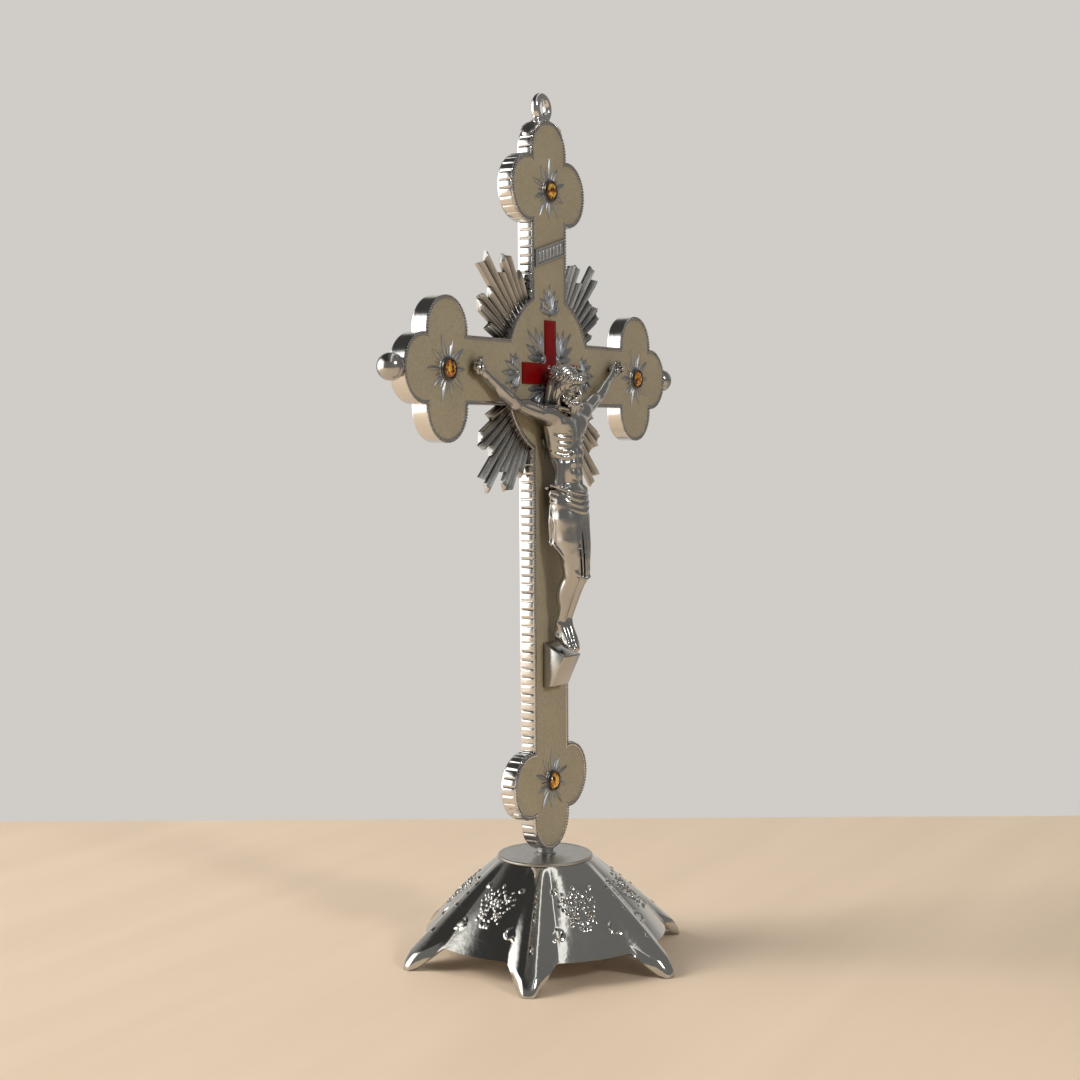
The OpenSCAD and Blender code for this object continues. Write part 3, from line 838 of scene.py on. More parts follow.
class Clay:
    """A grid of signed distances in millimetres. Each stroke changes only the window round its shape."""

    def __init__(self, low, high, pitch):
        self.low, self.pitch = np.array(low, float), pitch
        self.size = np.round((np.array(high) - self.low) / pitch).astype(int) + 1
        self.axes = [(self.low[k] + pitch * np.arange(self.size[k])).astype(np.float32) for k in range(3)]
        self.axes_end = np.array([axis[-1] for axis in self.axes])
        self.field = np.full(self.size, 6.0, np.float32)

    def window(self, low, high, margin):
        cut = []
        for k in range(3):
            a = int(max(0, math.floor((low[k] - margin - self.low[k]) / self.pitch)))
            b = int(min(self.size[k], math.ceil((high[k] + margin - self.low[k]) / self.pitch) + 1))
            cut.append(slice(a, max(a, b)))
        x = self.axes[0][cut[0]][:, None, None]
        y = self.axes[1][cut[1]][None, :, None]
        z = self.axes[2][cut[2]][None, None, :]
        return tuple(cut), x, y, z

    def stroke(self, cut, distance, k, mode):
        here = self.field[cut]
        if mode == "add":
            self.field[cut] = smin(here, distance, k)
        elif mode == "cut":
            self.field[cut] = smax(here, -distance, k)
        else:
            self.field[cut] = smax(here, distance, k)

    def cone(self, a, b, ra, rb, k=0.6, mode="add", flat=None):
        """A limb from ball a to ball b. flat=(axis, share) thins it across an axis."""
        a, b = np.array(a, float), np.array(b, float)
        r = max(ra, rb)
        cut, x, y, z = self.window(np.minimum(a, b) - r, np.maximum(a, b) + r, k + 1.2)
        scale = np.ones(3)
        if flat:
            scale[np.abs(np.array(flat[0])).argmax()] = 1 / flat[1]
        step = (b - a) * scale
        px, py, pz = (x - a[0]) * scale[0], (y - a[1]) * scale[1], (z - a[2]) * scale[2]
        t = np.clip((px * step[0] + py * step[1] + pz * step[2]) / max(1e-9, step @ step), 0, 1)
        d = np.sqrt((px - t * step[0]) ** 2 + (py - t * step[1]) ** 2 + (pz - t * step[2]) ** 2)
        d = d - (ra + (rb - ra) * t)
        self.stroke(cut, (d / scale.max()).astype(np.float32), k, mode)

    def egg(self, centre, radii, k=0.8, mode="add", turn=None):
        """An ellipsoid with half-axes radii, turned by the 3x3 matrix turn."""
        c, r = np.array(centre, float), np.array(radii, float)
        reach = np.full(3, r.max()) if turn is not None else r
        cut, x, y, z = self.window(c - reach, c + reach, k + 1.2)
        px, py, pz = x - c[0], y - c[1], z - c[2]
        if turn is not None:
            m = np.array(turn, float)
            px, py, pz = (px * m[0, j] + py * m[1, j] + pz * m[2, j] for j in range(3))
        length = np.sqrt((px / r[0]) ** 2 + (py / r[1]) ** 2 + (pz / r[2]) ** 2)
        slope = np.sqrt((px / r[0] ** 2) ** 2 + (py / r[1] ** 2) ** 2 + (pz / r[2] ** 2) ** 2)
        d = length * (length - 1) / np.maximum(slope, 1e-6)
        self.stroke(cut, d.astype(np.float32), k, mode)

    def rope(self, points, radii, k=0.3, mode="add"):
        """A strand through points, its radius running through radii."""
        points = smooth_path(points)
        radii = np.interp(np.linspace(0, 1, len(points)), np.linspace(0, 1, len(radii)), radii)
        r = radii.max()
        cut, x, y, z = self.window(points.min(axis=0) - r, points.max(axis=0) + r, k + 1.2)
        nearest = None
        for a, b, ra, rb in zip(points, points[1:], radii, radii[1:]):
            step = b - a
            px, py, pz = x - a[0], y - a[1], z - a[2]
            t = np.clip((px * step[0] + py * step[1] + pz * step[2]) / max(1e-9, step @ step), 0, 1)
            d = np.sqrt((px - t * step[0]) ** 2 + (py - t * step[1]) ** 2 + (pz - t * step[2]) ** 2)
            d = d - (ra + (rb - ra) * t)
            nearest = d if nearest is None else np.minimum(nearest, d)
        self.stroke(cut, nearest.astype(np.float32), k, mode)

    def soften(self):
        """Rounds off small steps by averaging each distance with its neighbours."""
        for axis in range(3):
            f = self.field
            mean = f.copy()
            body = [slice(None)] * 3
            before, after = list(body), list(body)
            body[axis], before[axis], after[axis] = slice(1, -1), slice(None, -2), slice(2, None)
            mean[tuple(body)] = (f[tuple(before)] + 2 * f[tuple(body)] + f[tuple(after)]) / 4
            self.field = mean

    def mesh(self):
        """The surface where the distance is 0."""
        grid = openvdb.FloatGrid(background=2 * self.pitch)
        grid.copyFromArray(np.clip(self.field, -2 * self.pitch, 2 * self.pitch).astype(np.float32))
        points, triangles, quads = grid.convertToPolygons(isovalue=0.0, adaptivity=0.0)
        points = np.asarray(points, float) * self.pitch + self.low
        return points, [list(f) for f in triangles] + [list(f) for f in quads]


def smooth_path(points, steps=5):
    """A smooth curve through points."""
    p = np.array(points, float)
    if len(p) < 3:
        return p
    q = np.vstack([2 * p[0] - p[1], p, 2 * p[-1] - p[-2]])
    out = []
    for i in range(1, len(q) - 2):
        for t in np.linspace(0, 1, steps, endpoint=False):
            a, b, c, d = q[i - 1], q[i], q[i + 1], q[i + 2]
            bend, twist = (2 * a - 5 * b + 4 * c - d) * t * t, (3 * b - a - 3 * c + d) * t ** 3
            out.append(0.5 * (2 * b + (c - a) * t + bend + twist))
    return np.array(out + [p[-1]])


def loop_mesh():
    """The cast ring on its flared saddle, with its straight bore."""
    high = box_mm("hanging_loop")[1]
    bore = frame["record"]["mounts"][1]
    z = bore["pos_m"][2] / MM
    inner = bore["dims"]["r_mm"]
    mid, wire = (inner + 0.15 + high[2] - z) / 2, (high[2] - z - inner) / 2
    top = frame_high[2]
    clay = Clay((-9, -4, top - 8), (9, 4, high[2] + 1), 0.12)
    for k in range(40):
        a, b = 2 * math.pi * k / 40, 2 * math.pi * (k + 1) / 40
        ends = [(mid * math.sin(angle), 0, z + mid * math.cos(angle)) for angle in (a, b)]
        clay.cone(*ends, wire, wire, 0.05)
    clay.cone((0, -1.2, top - 0.1), (0, 1.2, top - 0.1), 1.15, 1.15, 1.0)
    clay.cone((0, 0, top - 0.3), (0, 0, z - mid), 1.5, 1.1, 1.0)
    for side in (-1, 1):
        crown = [(side * h, 0, top + v) for h, v in ((0, 0.5), (2.6, 0.15), (4.6, -1.1), (6, -2.6))]
        clay.rope(crown, [1.3, 0.95, 0.7, 0.35], 0.8)
        clay.cone((side * 1.7, -0.1, top + 1.1), (side * 2.5, -0.1, top + 1.2), 0.62, 0.5, 0.5)
    cut, x, y, w = clay.window((-9, -4, top - 8), (9, 4, high[2] + 1), 0)
    clay.stroke(cut, inner - np.sqrt(x ** 2 + (w - z) ** 2) + 0 * y, 0.15, "keep")
    lobe = np.sqrt(x ** 2 + (w - (top - LOBE_R)) ** 2) + 0 * y
    clay.stroke(cut, np.abs(y) - high[1] + 0 * x + 0 * w, 0.2, "keep")
    middle_z, over = top - LOBE_R, LOBE_R + 0.75
    for side in (-1, 1):
        for a, wide in ((12, 1.6), (20, 2.3), (29, 2.9), (38, 3.0), (47, 2.6), (55, 1.7)):
            lean = math.radians(a) * side
            out = np.array((math.sin(lean), 0, math.cos(lean)))
            turned = np.column_stack([(math.cos(lean), 0, -math.sin(lean)), (0, 1, 0), out])
            place = np.array((0, 0, middle_z)) + out * (LOBE_R + 0.1)
            clay.egg(place, (1.5, wide, 0.72), 0.45, turn=turned)
        angles = [math.radians(a) for a in (14, 28, 42, 52)]
        rib = [(side * LOBE_R * math.sin(a), 0, middle_z + over * math.cos(a)) for a in angles]
        clay.rope(rib, [0.5, 0.34, 0.24, 0.1], 0.3)
    clay.stroke(cut, LOBE_R - 0.25 - lobe, 0.0, "keep")
    return clay.mesh()


mesh_object("loop_cast", *loop_mesh(), chrome, "frame_chrome", ["hanging_loop"], smooth=180)

# ---- The cast figure ----


def muscle(clay, a, b, wide, deep, k):
    """A long bulge from a to b, wide across and deep from front to back."""
    a, b = np.array(a, float), np.array(b, float)
    along = (b - a) / np.linalg.norm(b - a)
    side = np.cross(along, (0, 1, 0))
    side /= np.linalg.norm(side)
    turn = np.column_stack([along, side, np.cross(along, side)])
    clay.egg((a + b) / 2, (np.linalg.norm(b - a) / 2, wide, deep), k, "add", turn)


def mirrored(side, points):
    """Points given for the viewer's right, on the side asked for."""
    return [(x * side, y, z) for x, y, z in points]


def model_torso(clay):
    """Ribcage, shoulders, chest and belly down to the cloth."""
    clay.egg((0, -7.2, 145.2), (7.3, 4.0, 7.6), 1)
    clay.egg((0, -7.9, 136.2), (5.0, 3.5, 7.4), 2)
    clay.cone((-6.4, -6.6, 149.8), (6.4, -7.0, 150.4), 2.5, 2.5, 2)
    clay.cone((0, -7.4, 150), (-1.6, -8.4, 156), 2.5, 2.2, 1.5)
    clay.cone((0, -4.6, 146), (0, -3.2, 146), 2.6, 2.2, 1.5)
    for side in (-1, 1):
        clay.cone((6.2 * side, -6.2, 151.2), (-1 + side, -6.9, 154.8), 1.7, 1.5, 2)
        clay.cone((7.0 * side, -6.4, 148.6), (4.6 * side, -6.9, 137.5), 2.1, 1.3, 1.6)
        clay.egg((3.5 * side, -9.3, 147.7), (3.5, 2.05, 2.5), 1.1)
        clay.cone((4.6 * side, -9.2, 148.6), (8.4 * side, -7.6, 150.6), 1.6, 1.5, 1.2)
        collar_bone = [(0.8, -9.9, 151.3), (3.6, -10.1, 152.0), (7.2, -8.4, 152.7)]
        clay.rope(mirrored(side, collar_bone), [0.62, 0.5, 0.6], 0.7)
        clay.rope([(0.5 * side, -10.3, 151.4), (-1.6 + 1.9 * side, -9.6, 156.4)], [0.55, 0.6], 0.5)
        for i in range(5):
            z = 146.2 - 1.75 * i
            out = 7.5 - 0.32 * i
            rib = [(out, -6.4, z + 1.0), (out - 1.5, -9.2, z - 0.3), (out - 3.4, -10.9, z - 0.5 + 0.1 * i)]
            rib = mirrored(side, rib)
            clay.rope(rib, [0.42, 0.5, 0.3], 0.6)
            gap = [(x + 0.1 * side, y - 0.15, z - 0.88) for x, y, z in rib]
            clay.rope(gap, [0.08, 0.12, 0.05], 0.75, "cut")
        rib_arch = [(0.3, -11.7, 143.2), (2.4, -11.7, 141.6), (4.8, -10.7, 138.6)]
        clay.rope(mirrored(side, rib_arch), [0.4, 0.45, 0.35], 0.8, "cut")
        clay.egg((1.55 * side, -11.0, 139.9), (1.45, 0.75, 1.25), 0.7)
        clay.egg((1.5 * side, -11.05, 137.3), (1.4, 0.7, 1.2), 0.7)
        clay.egg((1.4 * side, -10.95, 134.2), (1.3, 0.65, 1.8), 0.7)
        clay.cone((4.9 * side, -8.2, 137), (5.2 * side, -8.2, 131.4), 1.1, 1.4, 1.2)
        clay.egg((3.7 * side, -11.15, 146.5), (0.32, 0.3, 0.32), 0.2)
    clay.rope([(0, -11.3, 150.4), (0, -11.6, 147), (0, -11.5, 143.6)], [0.3, 0.42, 0.3], 0.7, "cut")
    clay.rope([(0, -11.9, 142.8), (0, -11.9, 136.2), (0, -11.6, 132)], [0.22, 0.24, 0.2], 0.5, "cut")
    clay.egg((0, -11.5, 134.7), (0.34, 0.5, 0.42), 0.35, "cut")


def model_arm(clay, side, shoulder, elbow, wrist, palm):
    """One arm with its open hand, the fingers curled over the palm."""
    s, e, w, p = (np.array(v, float) for v in (shoulder, elbow, wrist, palm))
    clay.cone(s, e, 2.35, 1.5, 1.5)
    clay.egg(s + (1.2 * side, 0.2, 0.5), (3.0, 2.75, 2.7), 1.4)
    up, down = np.array((0, -0.35, 0.75)), np.array((0, 0.25, -0.8))
    muscle(clay, s + (e - s) * 0.22 + up, s + (e - s) * 0.86 + up * 0.8, 1.75, 1.75, 0.9)
    muscle(clay, s + (e - s) * 0.12 + down, s + (e - s) * 0.92 + down * 0.7, 1.65, 1.8, 0.9)
    offsets = ((0.3, -2.2, -0.15), (0.62, -2.0, -0.15), (0.85, -1.7, 0))
    clay.rope([s + (e - s) * t + (0, y, z) for t, y, z in offsets], [0.15, 0.28, 0.12], 0.5, "cut")
    clay.cone(e, w, 1.5, 1.0, 0.8)
    clay.egg(e + (0.4 * side, 0.2, -0.5), (1.3, 1.3, 1.2), 0.7)
    muscle(clay, e - (w - e) * 0.08 + (0, -0.35, 0.35), e + (w - e) * 0.66, 1.45, 1.5, 0.8)
    muscle(clay, e + (0, 0.2, -0.5), e + (w - e) * 0.6 + (0, 0.2, -0.3), 1.3, 1.4, 0.8)
    offsets = ((0.25, -1.6, -0.2), (0.6, -1.4, -0.1), (1, -1.0, 0))
    clay.rope([e + (w - e) * t + (0, y, z) for t, y, z in offsets], [0.12, 0.2, 0.1], 0.4, "cut")
    ahead_of = (p - w) / np.linalg.norm(p - w)
    reach = np.array((ahead_of[0], 0, ahead_of[2]))
    reach /= np.linalg.norm(reach)
    over = np.array((-reach[2] * side, 0, reach[0] * side))
    clay.cone(w, p, 1.05, 1.35, 0.6, flat=((0, 1, 0), 0.8))
    clay.cone(p - over * 0.75, p + over * 0.75, 1.25, 1.25, 0.6, flat=((0, 1, 0), 0.85))
    for k, (spread, length) in enumerate(((-0.5, 2.5), (-0.17, 3.0), (0.17, 2.9), (0.5, 2.3))):
        root = p + over * spread * 2.6 + reach * 0.9
        way_out = reach * math.cos(spread * 0.5) + over * math.sin(spread * 0.5)
        bend = root + way_out * length * 0.5 + (0, -0.15, 0)
        tip = root + way_out * length * 0.62 + (0, -1.35 - 0.12 * k, 0)
        curled_end = tip - way_out * 0.55 + (0, -0.25, 0)
        clay.rope([root, bend, tip + way_out * 0.1, curled_end], [0.5, 0.46, 0.4, 0.3], 0.16)
    thumb = ((1.2, -0.2, 0), (1.9, 0.5, -0.4), (1.5, 1.5, -0.9))
    clay.rope([p - over * a + reach * b + (0, y, 0) for a, b, y in thumb], [0.6, 0.48, 0.34], 0.25)


def model_legs(clay):
    """Two legs bent at the knee, the feet side by side on the block."""
    for side, *points in (
        (-1, (-2.7, -8.6, 122), (-1.9, -10.2, 107), (-0.9, -5.7, 92.6),
         (-0.8, -5.0, 89.6), (-0.9, -8.2, 87.2), (-0.8, -10.6, 85.3)),
        (1, (2.9, -8.6, 122), (2.1, -10.6, 107.4), (0.8, -6.9, 93.2),
         (0.5, -6.3, 90.3), (0.7, -9.0, 88.0), (0.9, -10.9, 85.9)),
    ):
        hip, knee, ankle, heel, ball, toes = np.array(points, float)
        shin = ankle - knee
        clay.cone(hip, knee, 3.7, 2.45, 0.8)
        muscle(clay, hip + (0.4 * side, -1.0, -2), knee + (0.3 * side, -0.3, 1.4), 2.6, 2.4, 1.2)
        clay.egg(knee + (0, -1.75, 0.2), (1.25, 0.95, 1.35), 0.7)
        clay.egg(knee + (0, -1.2, -2.1), (0.85, 0.9, 1.1), 0.7)
        clay.cone(knee, ankle, 2.2, 1.15, 0.7)
        calf = knee + (0.35 * side, 1.0, -0.6), knee + shin * 0.66 + (0.3 * side, 1.2, 0)
        muscle(clay, *calf, 1.9, 2.0, 1.0)
        shin_edge = [knee + (0, -1.5, -2.4), knee + shin * 0.5 + (0, -1.35, 0), ankle + (0, -0.9, 1)]
        clay.rope(shin_edge, [0.5, 0.42, 0.4], 0.6)
        for flank in (-1, 1):
            clay.egg(ankle + (1.0 * flank, 0, 0.1), (0.55, 0.6, 0.6), 0.4)
        clay.cone(ankle, heel, 1.25, 1.35, 0.7)
        clay.cone(ankle + (0, -0.5, -0.4), ball, 1.15, 1.2, 0.9)
        clay.cone(heel, ball, 1.2, 1.25, 0.8)
        for k in range(5):
            across_foot = (k - 2) * 0.52
            long = 1.0 - 0.16 * abs(k - 2 + 1.2 * side)
            root = ball + (across_foot, -0.4, 0.1)
            end = ball + (toes - ball) * long + (across_foot * 1.15, 0, 0)
            toe = [root, (root + end) / 2 + (0, -0.1, 0.25), end, end + (0, -0.1, -0.35)]
            clay.rope(toe, [0.5, 0.44, 0.46, 0.34], 0.14)
            clay.rope([ankle + (across_foot * 0.5, -1.1, -0.6), root + (0, -0.25, 0.75)], [0.2, 0.26], 0.45)


def model_cloth(clay):
    """A loincloth: bands wound round the hips, and long folds that hang to the knees in front."""
    clay.egg((0, -8.0, 127.4), (6.7, 4.55, 5.0), 0.8)
    clay.cone((-2.7, -8.2, 125), (-2.5, -8.6, 116.4), 3.9, 3.35, 1.6)
    clay.cone((-2.4, -9.2, 121), (-1.8, -10.4, 109.4), 3.2, 2.35, 1.2)
    clay.cone((2.8, -8.4, 125), (2.5, -9.4, 110.4), 3.7, 3.1, 1.6)
    clay.cone((0, -9.6, 124), (0.4, -10.6, 109.6), 2.9, 2.1, 1.6)
    bands = (
        ([(-6.6, -6.6, 131.2), (-4.4, -10.6, 129.6), (0.2, -12.5, 128.6),
          (4.4, -11.0, 129.9), (6.6, -7.0, 131.6)], 0.7),
        ([(-6.8, -6.6, 129.6), (-4.6, -10.9, 127.9), (0.2, -12.7, 126.9),
          (4.7, -11.2, 128.3), (6.8, -7.0, 130.0)], 0.6),
        ([(-6.9, -6.5, 128.2), (-4.6, -11.1, 126.3), (0.5, -12.8, 125.3),
          (4.9, -11.3, 126.8), (6.9, -7.0, 128.6)], 0.55),
        ([(-6.9, -6.4, 126.8), (-4.3, -11.2, 124.6), (0.8, -12.8, 123.7),
          (5.0, -11.3, 125.3), (7.0, -7.0, 127.3)], 0.5),
        ([(-6.6, -5.2, 130.4), (-3, -4.2, 129.8), (0, -3.9, 129.6), (3, -4.2, 129.9),
          (6.6, -5.4, 130.8)], 0.8),
    )
    for points, r in bands:
        clay.rope(points, [r * 0.8, r, r * 1.05, r, r * 0.8], 0.35)
        lower = [(x, y - 0.35, z - r * 1.05) for x, y, z in points]
        clay.rope(lower, [0.16, 0.22, 0.24, 0.22, 0.16], 0.25, "cut")
    folds = (
        ([(-5.6, -9.4, 123.8), (-5.7, -9.4, 119), (-5.2, -9.7, 114.6), (-4.5, -10.0, 110.6)], 0.5),
        ([(-4.6, -10.6, 123.6), (-4.6, -10.9, 118), (-4.0, -11.4, 112.6), (-3.4, -11.7, 108.0)], 0.56),
        ([(-3.1, -11.8, 123.2), (-3.0, -12.2, 117.4), (-2.5, -12.6, 111.6), (-2.2, -12.8, 106.4)], 0.6),
        ([(-1.7, -12.3, 122.8), (-1.6, -12.7, 117), (-1.3, -13.0, 111), (-1.0, -13.1, 105.8)], 0.58),
        ([(-0.3, -12.5, 122.4), (-0.2, -12.9, 116.6), (0.0, -13.2, 111), (0.3, -13.2, 105.6)], 0.6),
        ([(1.2, -12.4, 122.8), (1.3, -12.8, 117), (1.5, -13.0, 111), (1.6, -13.0, 105.8)], 0.6),
        ([(2.7, -12.0, 123.6), (2.9, -12.5, 118), (3.0, -12.6, 111), (2.9, -12.6, 106.2)], 0.58),
        ([(4.2, -11.2, 124.4), (4.5, -11.7, 118), (4.5, -11.6, 112), (4.1, -11.8, 106.8)], 0.62),
        ([(5.5, -9.6, 125.2), (5.9, -10.2, 119), (5.8, -10.0, 112), (5.0, -10.2, 107.6)], 0.62),
        ([(6.3, -7.6, 126), (6.5, -8.1, 119), (6.2, -8.0, 113), (5.5, -8.2, 108.8)], 0.6),
    )
    for points, r in folds:
        clay.rope(points, [r * 0.45, r, r * 1.05, r * 0.85], 0.3)
    for place, (points, r) in enumerate(folds):
        deep = 1.5 if place == 1 else 1.0
        beside = [(x + 0.76, y - 0.12, z) for x, y, z in points]
        clay.rope(beside, [0.1, 0.3 * deep, 0.36 * deep, 0.34 * deep], 0.24, "cut")
    for points in (
        [(-6.4, -7.4, 124.6), (-5.2, -9.9, 122.2), (-3.6, -11.6, 118.6)],
        [(-6.6, -6.6, 122.6), (-5.8, -8.8, 118.4), (-4.6, -10.4, 113.8)],
    ):
        clay.rope(points, [0.3, 0.42, 0.25], 0.4)
    hem = [(-5.8, -6.0, 115.6), (-5.6, -8.2, 113.4), (-4.6, -10.2, 110.2), (-3.4, -11.9, 107.4)]
    hem += [(-2.0, -12.9, 105.9), (0.2, -13.3, 105.2), (1.7, -13.1, 105.3), (3.4, -12.8, 105.8)]
    hem += [(4.9, -10.8, 106.8), (5.6, -7.9, 108.8)]
    clay.rope(hem, [0.4, 0.42, 0.42, 0.4, 0.38, 0.38, 0.38, 0.4, 0.4, 0.4], 0.3)
    clay.egg((-6.3, -6.4, 128.6), (0.8, 1.2, 1.1), 0.4)
    for r, *points in (
        (0.5, (-6.4, -6.3, 127.6), (-6.4, -5.9, 121), (-5.7, -5.8, 115.8)),
        (0.45, (-6.3, -7.4, 127.2), (-6.2, -7.4, 121), (-5.8, -7.0, 115.0)),
    ):
        clay.rope(points, [r * 0.6, r, r * 1.1], 0.5)
    for x, y, z in ((-5.9, -5.8, 115.0), (-5.8, -7.0, 114.4)):
        clay.cone((x - 0.1, y, z + 0.6), (x + 0.15, y - 0.25, z - 0.4), 0.6, 0.42, 0.2)


HEAD = np.array((-2.5, -9.3, 158.6))
HEAD_TURN = np.array(Euler((math.radians(14), math.radians(-9), math.radians(-8))).to_matrix())


def on_head(side, front, up):
    """A point of the head: side to the viewer's right, front out of the face, up to the crown."""
    return HEAD + HEAD_TURN @ np.array((side, -front, up), float)


class HeadClay(Clay):
    """Clay whose eggs and ropes are placed by side, front and up of the head. Cones keep real places."""

    def egg(self, at, radii, k=0.5, mode="add"):
        super().egg(on_head(*at), radii, k, mode, HEAD_TURN)

    def rope(self, points, radii, k=0.3, mode="add"):
        super().rope([on_head(*p) for p in points], radii, k, mode)


def model_face(clay):
    egg, rope = clay.egg, clay.rope
    egg((0, -0.5, 1.1), (3.6, 4.3, 3.8))
    egg((0, 1.2, -1.2), (2.9, 2.7, 3.9), 1)
    egg((0, 2.0, 1.9), (2.7, 1.8, 2.0), 1)
    rope([(0, 0.4, -2.8), (0, 2.6, -4.3)], [2.2, 1.2], 1)
    for side in (-1, 1):
        egg((1.95 * side, 2.75, -1.15), (1.0, 0.85, 0.75), 0.9)
        brow = [(0.35, 3.75, 0.62), (1.3, 3.8, 0.86), (2.4, 3.05, 0.45)]
        rope(mirrored(side, brow), [0.34, 0.38, 0.25], 0.45)
        egg((1.3 * side, 4.05, -0.1), (0.85, 0.62, 0.5), 0.45, "cut")
        egg((1.32 * side, 3.3, -0.16), (0.72, 0.5, 0.5), 0.12)
        lid_line = [(0.7, 3.72, -0.36), (1.32, 3.86, -0.5), (1.98, 3.5, -0.34)]
        rope(mirrored(side, lid_line), [0.06, 0.09, 0.06], 0.08, "cut")
        lid = [(0.72, 3.7, -0.2), (1.32, 3.84, -0.34), (1.95, 3.45, -0.2)]
        rope(mirrored(side, lid), [0.1, 0.13, 0.1], 0.1)
        egg((0.5 * side, 4.3, -1.86), (0.34, 0.42, 0.32), 0.25)
        egg((0.36 * side, 4.62, -2.1), (0.13, 0.2, 0.12), 0.08, "cut")
        moustache = [(0.15, 4.2, -2.5), (1.2, 3.85, -2.8), (2.0, 3.0, -3.7)]
        rope(mirrored(side, moustache), [0.34, 0.34, 0.2], 0.15)
        fringe = [(0.2, 4.25, -2.75), (1.1, 3.9, -3.15), (1.6, 3.2, -4.2)]
        rope(mirrored(side, fringe), [0.24, 0.26, 0.16], 0.12)
    rope([(0, 3.7, 0.55), (0, 4.3, -0.7), (0, 4.85, -1.7)], [0.36, 0.4, 0.52], 0.45)
    rope([(-0.8, 3.85, -3.05), (0, 4.2, -2.98), (0.8, 3.85, -3.05)], [0.16, 0.24, 0.16], 0.15)
    rope([(-0.7, 3.8, -3.42), (0, 4.15, -3.5), (0.7, 3.8, -3.42)], [0.16, 0.26, 0.16], 0.15)
    rope([(-0.8, 4.1, -3.24), (0, 4.45, -3.22), (0.8, 4.1, -3.24)], [0.07, 0.1, 0.07], 0.08, "cut")


def head_axes(clay):
    """The grid's own points as seen from the head: side, front and up."""
    cut, x, y, z = clay.window(clay.low, clay.low + clay.pitch * clay.size, 0)
    px, py, pz = x - HEAD[0], y - HEAD[1], z - HEAD[2]
    side, back, up = (px * HEAD_TURN[0, j] + py * HEAD_TURN[1, j] + pz * HEAD_TURN[2, j] for j in range(3))
    return side, -back, up


def furrow(clay, lines, depth):
    """Presses parallel grooves into a whole field. lines counts up by 1 from one lock to the next."""
    lock = np.abs(np.sin(math.pi * lines)) ** 0.7
    clay.field += (depth * (0.62 - lock)).astype(np.float32)


def model_beard(clay):
    """A short forked beard of wavy locks along the jaw, on a field of its own."""
    for side in (-1, 1):
        jaw = [(2.95, 0.9, -1.6), (2.7, 1.7, -3.2), (1.6, 2.9, -4.4), (0, 3.3, -4.7)]
        clay.rope(mirrored(side, jaw), [0.5, 0.95, 1.0, 1.0], 0.9)
        fork = [(0.9, 2.9, -4.6), (0.85, 3.3, -5.9), (0.6, 3.3, -7.0)]
        clay.rope(mirrored(side, fork), [1.15, 0.9, 0.3], 0.6)
    side, front, up = head_axes(clay)
    turn = np.arctan2(side, front + 0.2)
    wave = 0.16 * np.sin(1.9 * up + 2.2 * turn)
    furrow(clay, turn * 4.1 + wave, 0.34)
    furrow(clay, turn * 11.3 + 2 * wave, 0.08)


def model_hair(clay):
    """Long hair parted in the middle, falling behind the cheeks to the shoulders, on a field of its own."""
    clay.egg((0, -1.25, 1.35), (4.15, 4.45, 4.1), 0.3)
    clay.egg((0, -2.6, -2.2), (3.9, 2.9, 5.6), 1.2)
    for side in (-1, 1):
        fall = [(2.9, 1.5, 2.7), (3.75, 0.7, 0.4), (3.95, -0.2, -2.2), (3.6, -0.1, -4.8), (3.7, 0.4, -7.4)]
        clay.rope(mirrored(side, fall), [0.8, 1.15, 1.4, 1.3, 0.75], 0.7)
        clay.rope(mirrored(side, [(3.5, -2.4, 0), (3.7, -2.6, -4), (3.9, -2.4, -7.6)]), [1.5, 1.5, 0.9], 0.9)
        clay.egg((0.9 * side, 4.6, 1.0), (0.1, 0.1, 0.1), 0.1, "cut")
    side, front, up = head_axes(clay)
    sweep = front + 0.22 * np.abs(side) + 0.3 * np.sin(0.85 * up + 1.3 * np.sign(side)) + 0.12 * up
    behind = np.clip((-front - 2.6) / 1.2, 0, 1)
    lines = (sweep * (1 - behind) + (0.9 * np.abs(side) + 0.25 * np.sin(0.9 * up)) * behind) / 0.95
    furrow(clay, lines, 0.36)
    furrow(clay, lines * 2.9 + 0.4, 0.09)
    part = np.exp(-(side / 0.2) ** 2) * np.clip(up - 1.5, 0, 1)
    clay.field += (0.3 * part).astype(np.float32)


def model_locks(clay):
    """Loose locks that leave the mass of the hair and lie on the shoulders."""
    for side in (-1, 1):
        for k in range(6):
            depth = 1.5 - 0.7 * k
            sway = 0.32 * math.sin(2.3 * k + 1 + side)
            lock = [(4.2, depth * 0.8, -1.2), (4.75 + 0.2 * sway, depth * 0.7, -3.2)]
            lock += [(4.5 + sway, depth * 0.7 + sway, -5.2), (4.7 - sway, depth * 0.8, -7.0)]
            lock.append((4.3 + sway, depth * 0.9, -8.2))
            clay.rope(mirrored(side, lock), [0.24, 0.42, 0.46, 0.38, 0.12], 0.12)


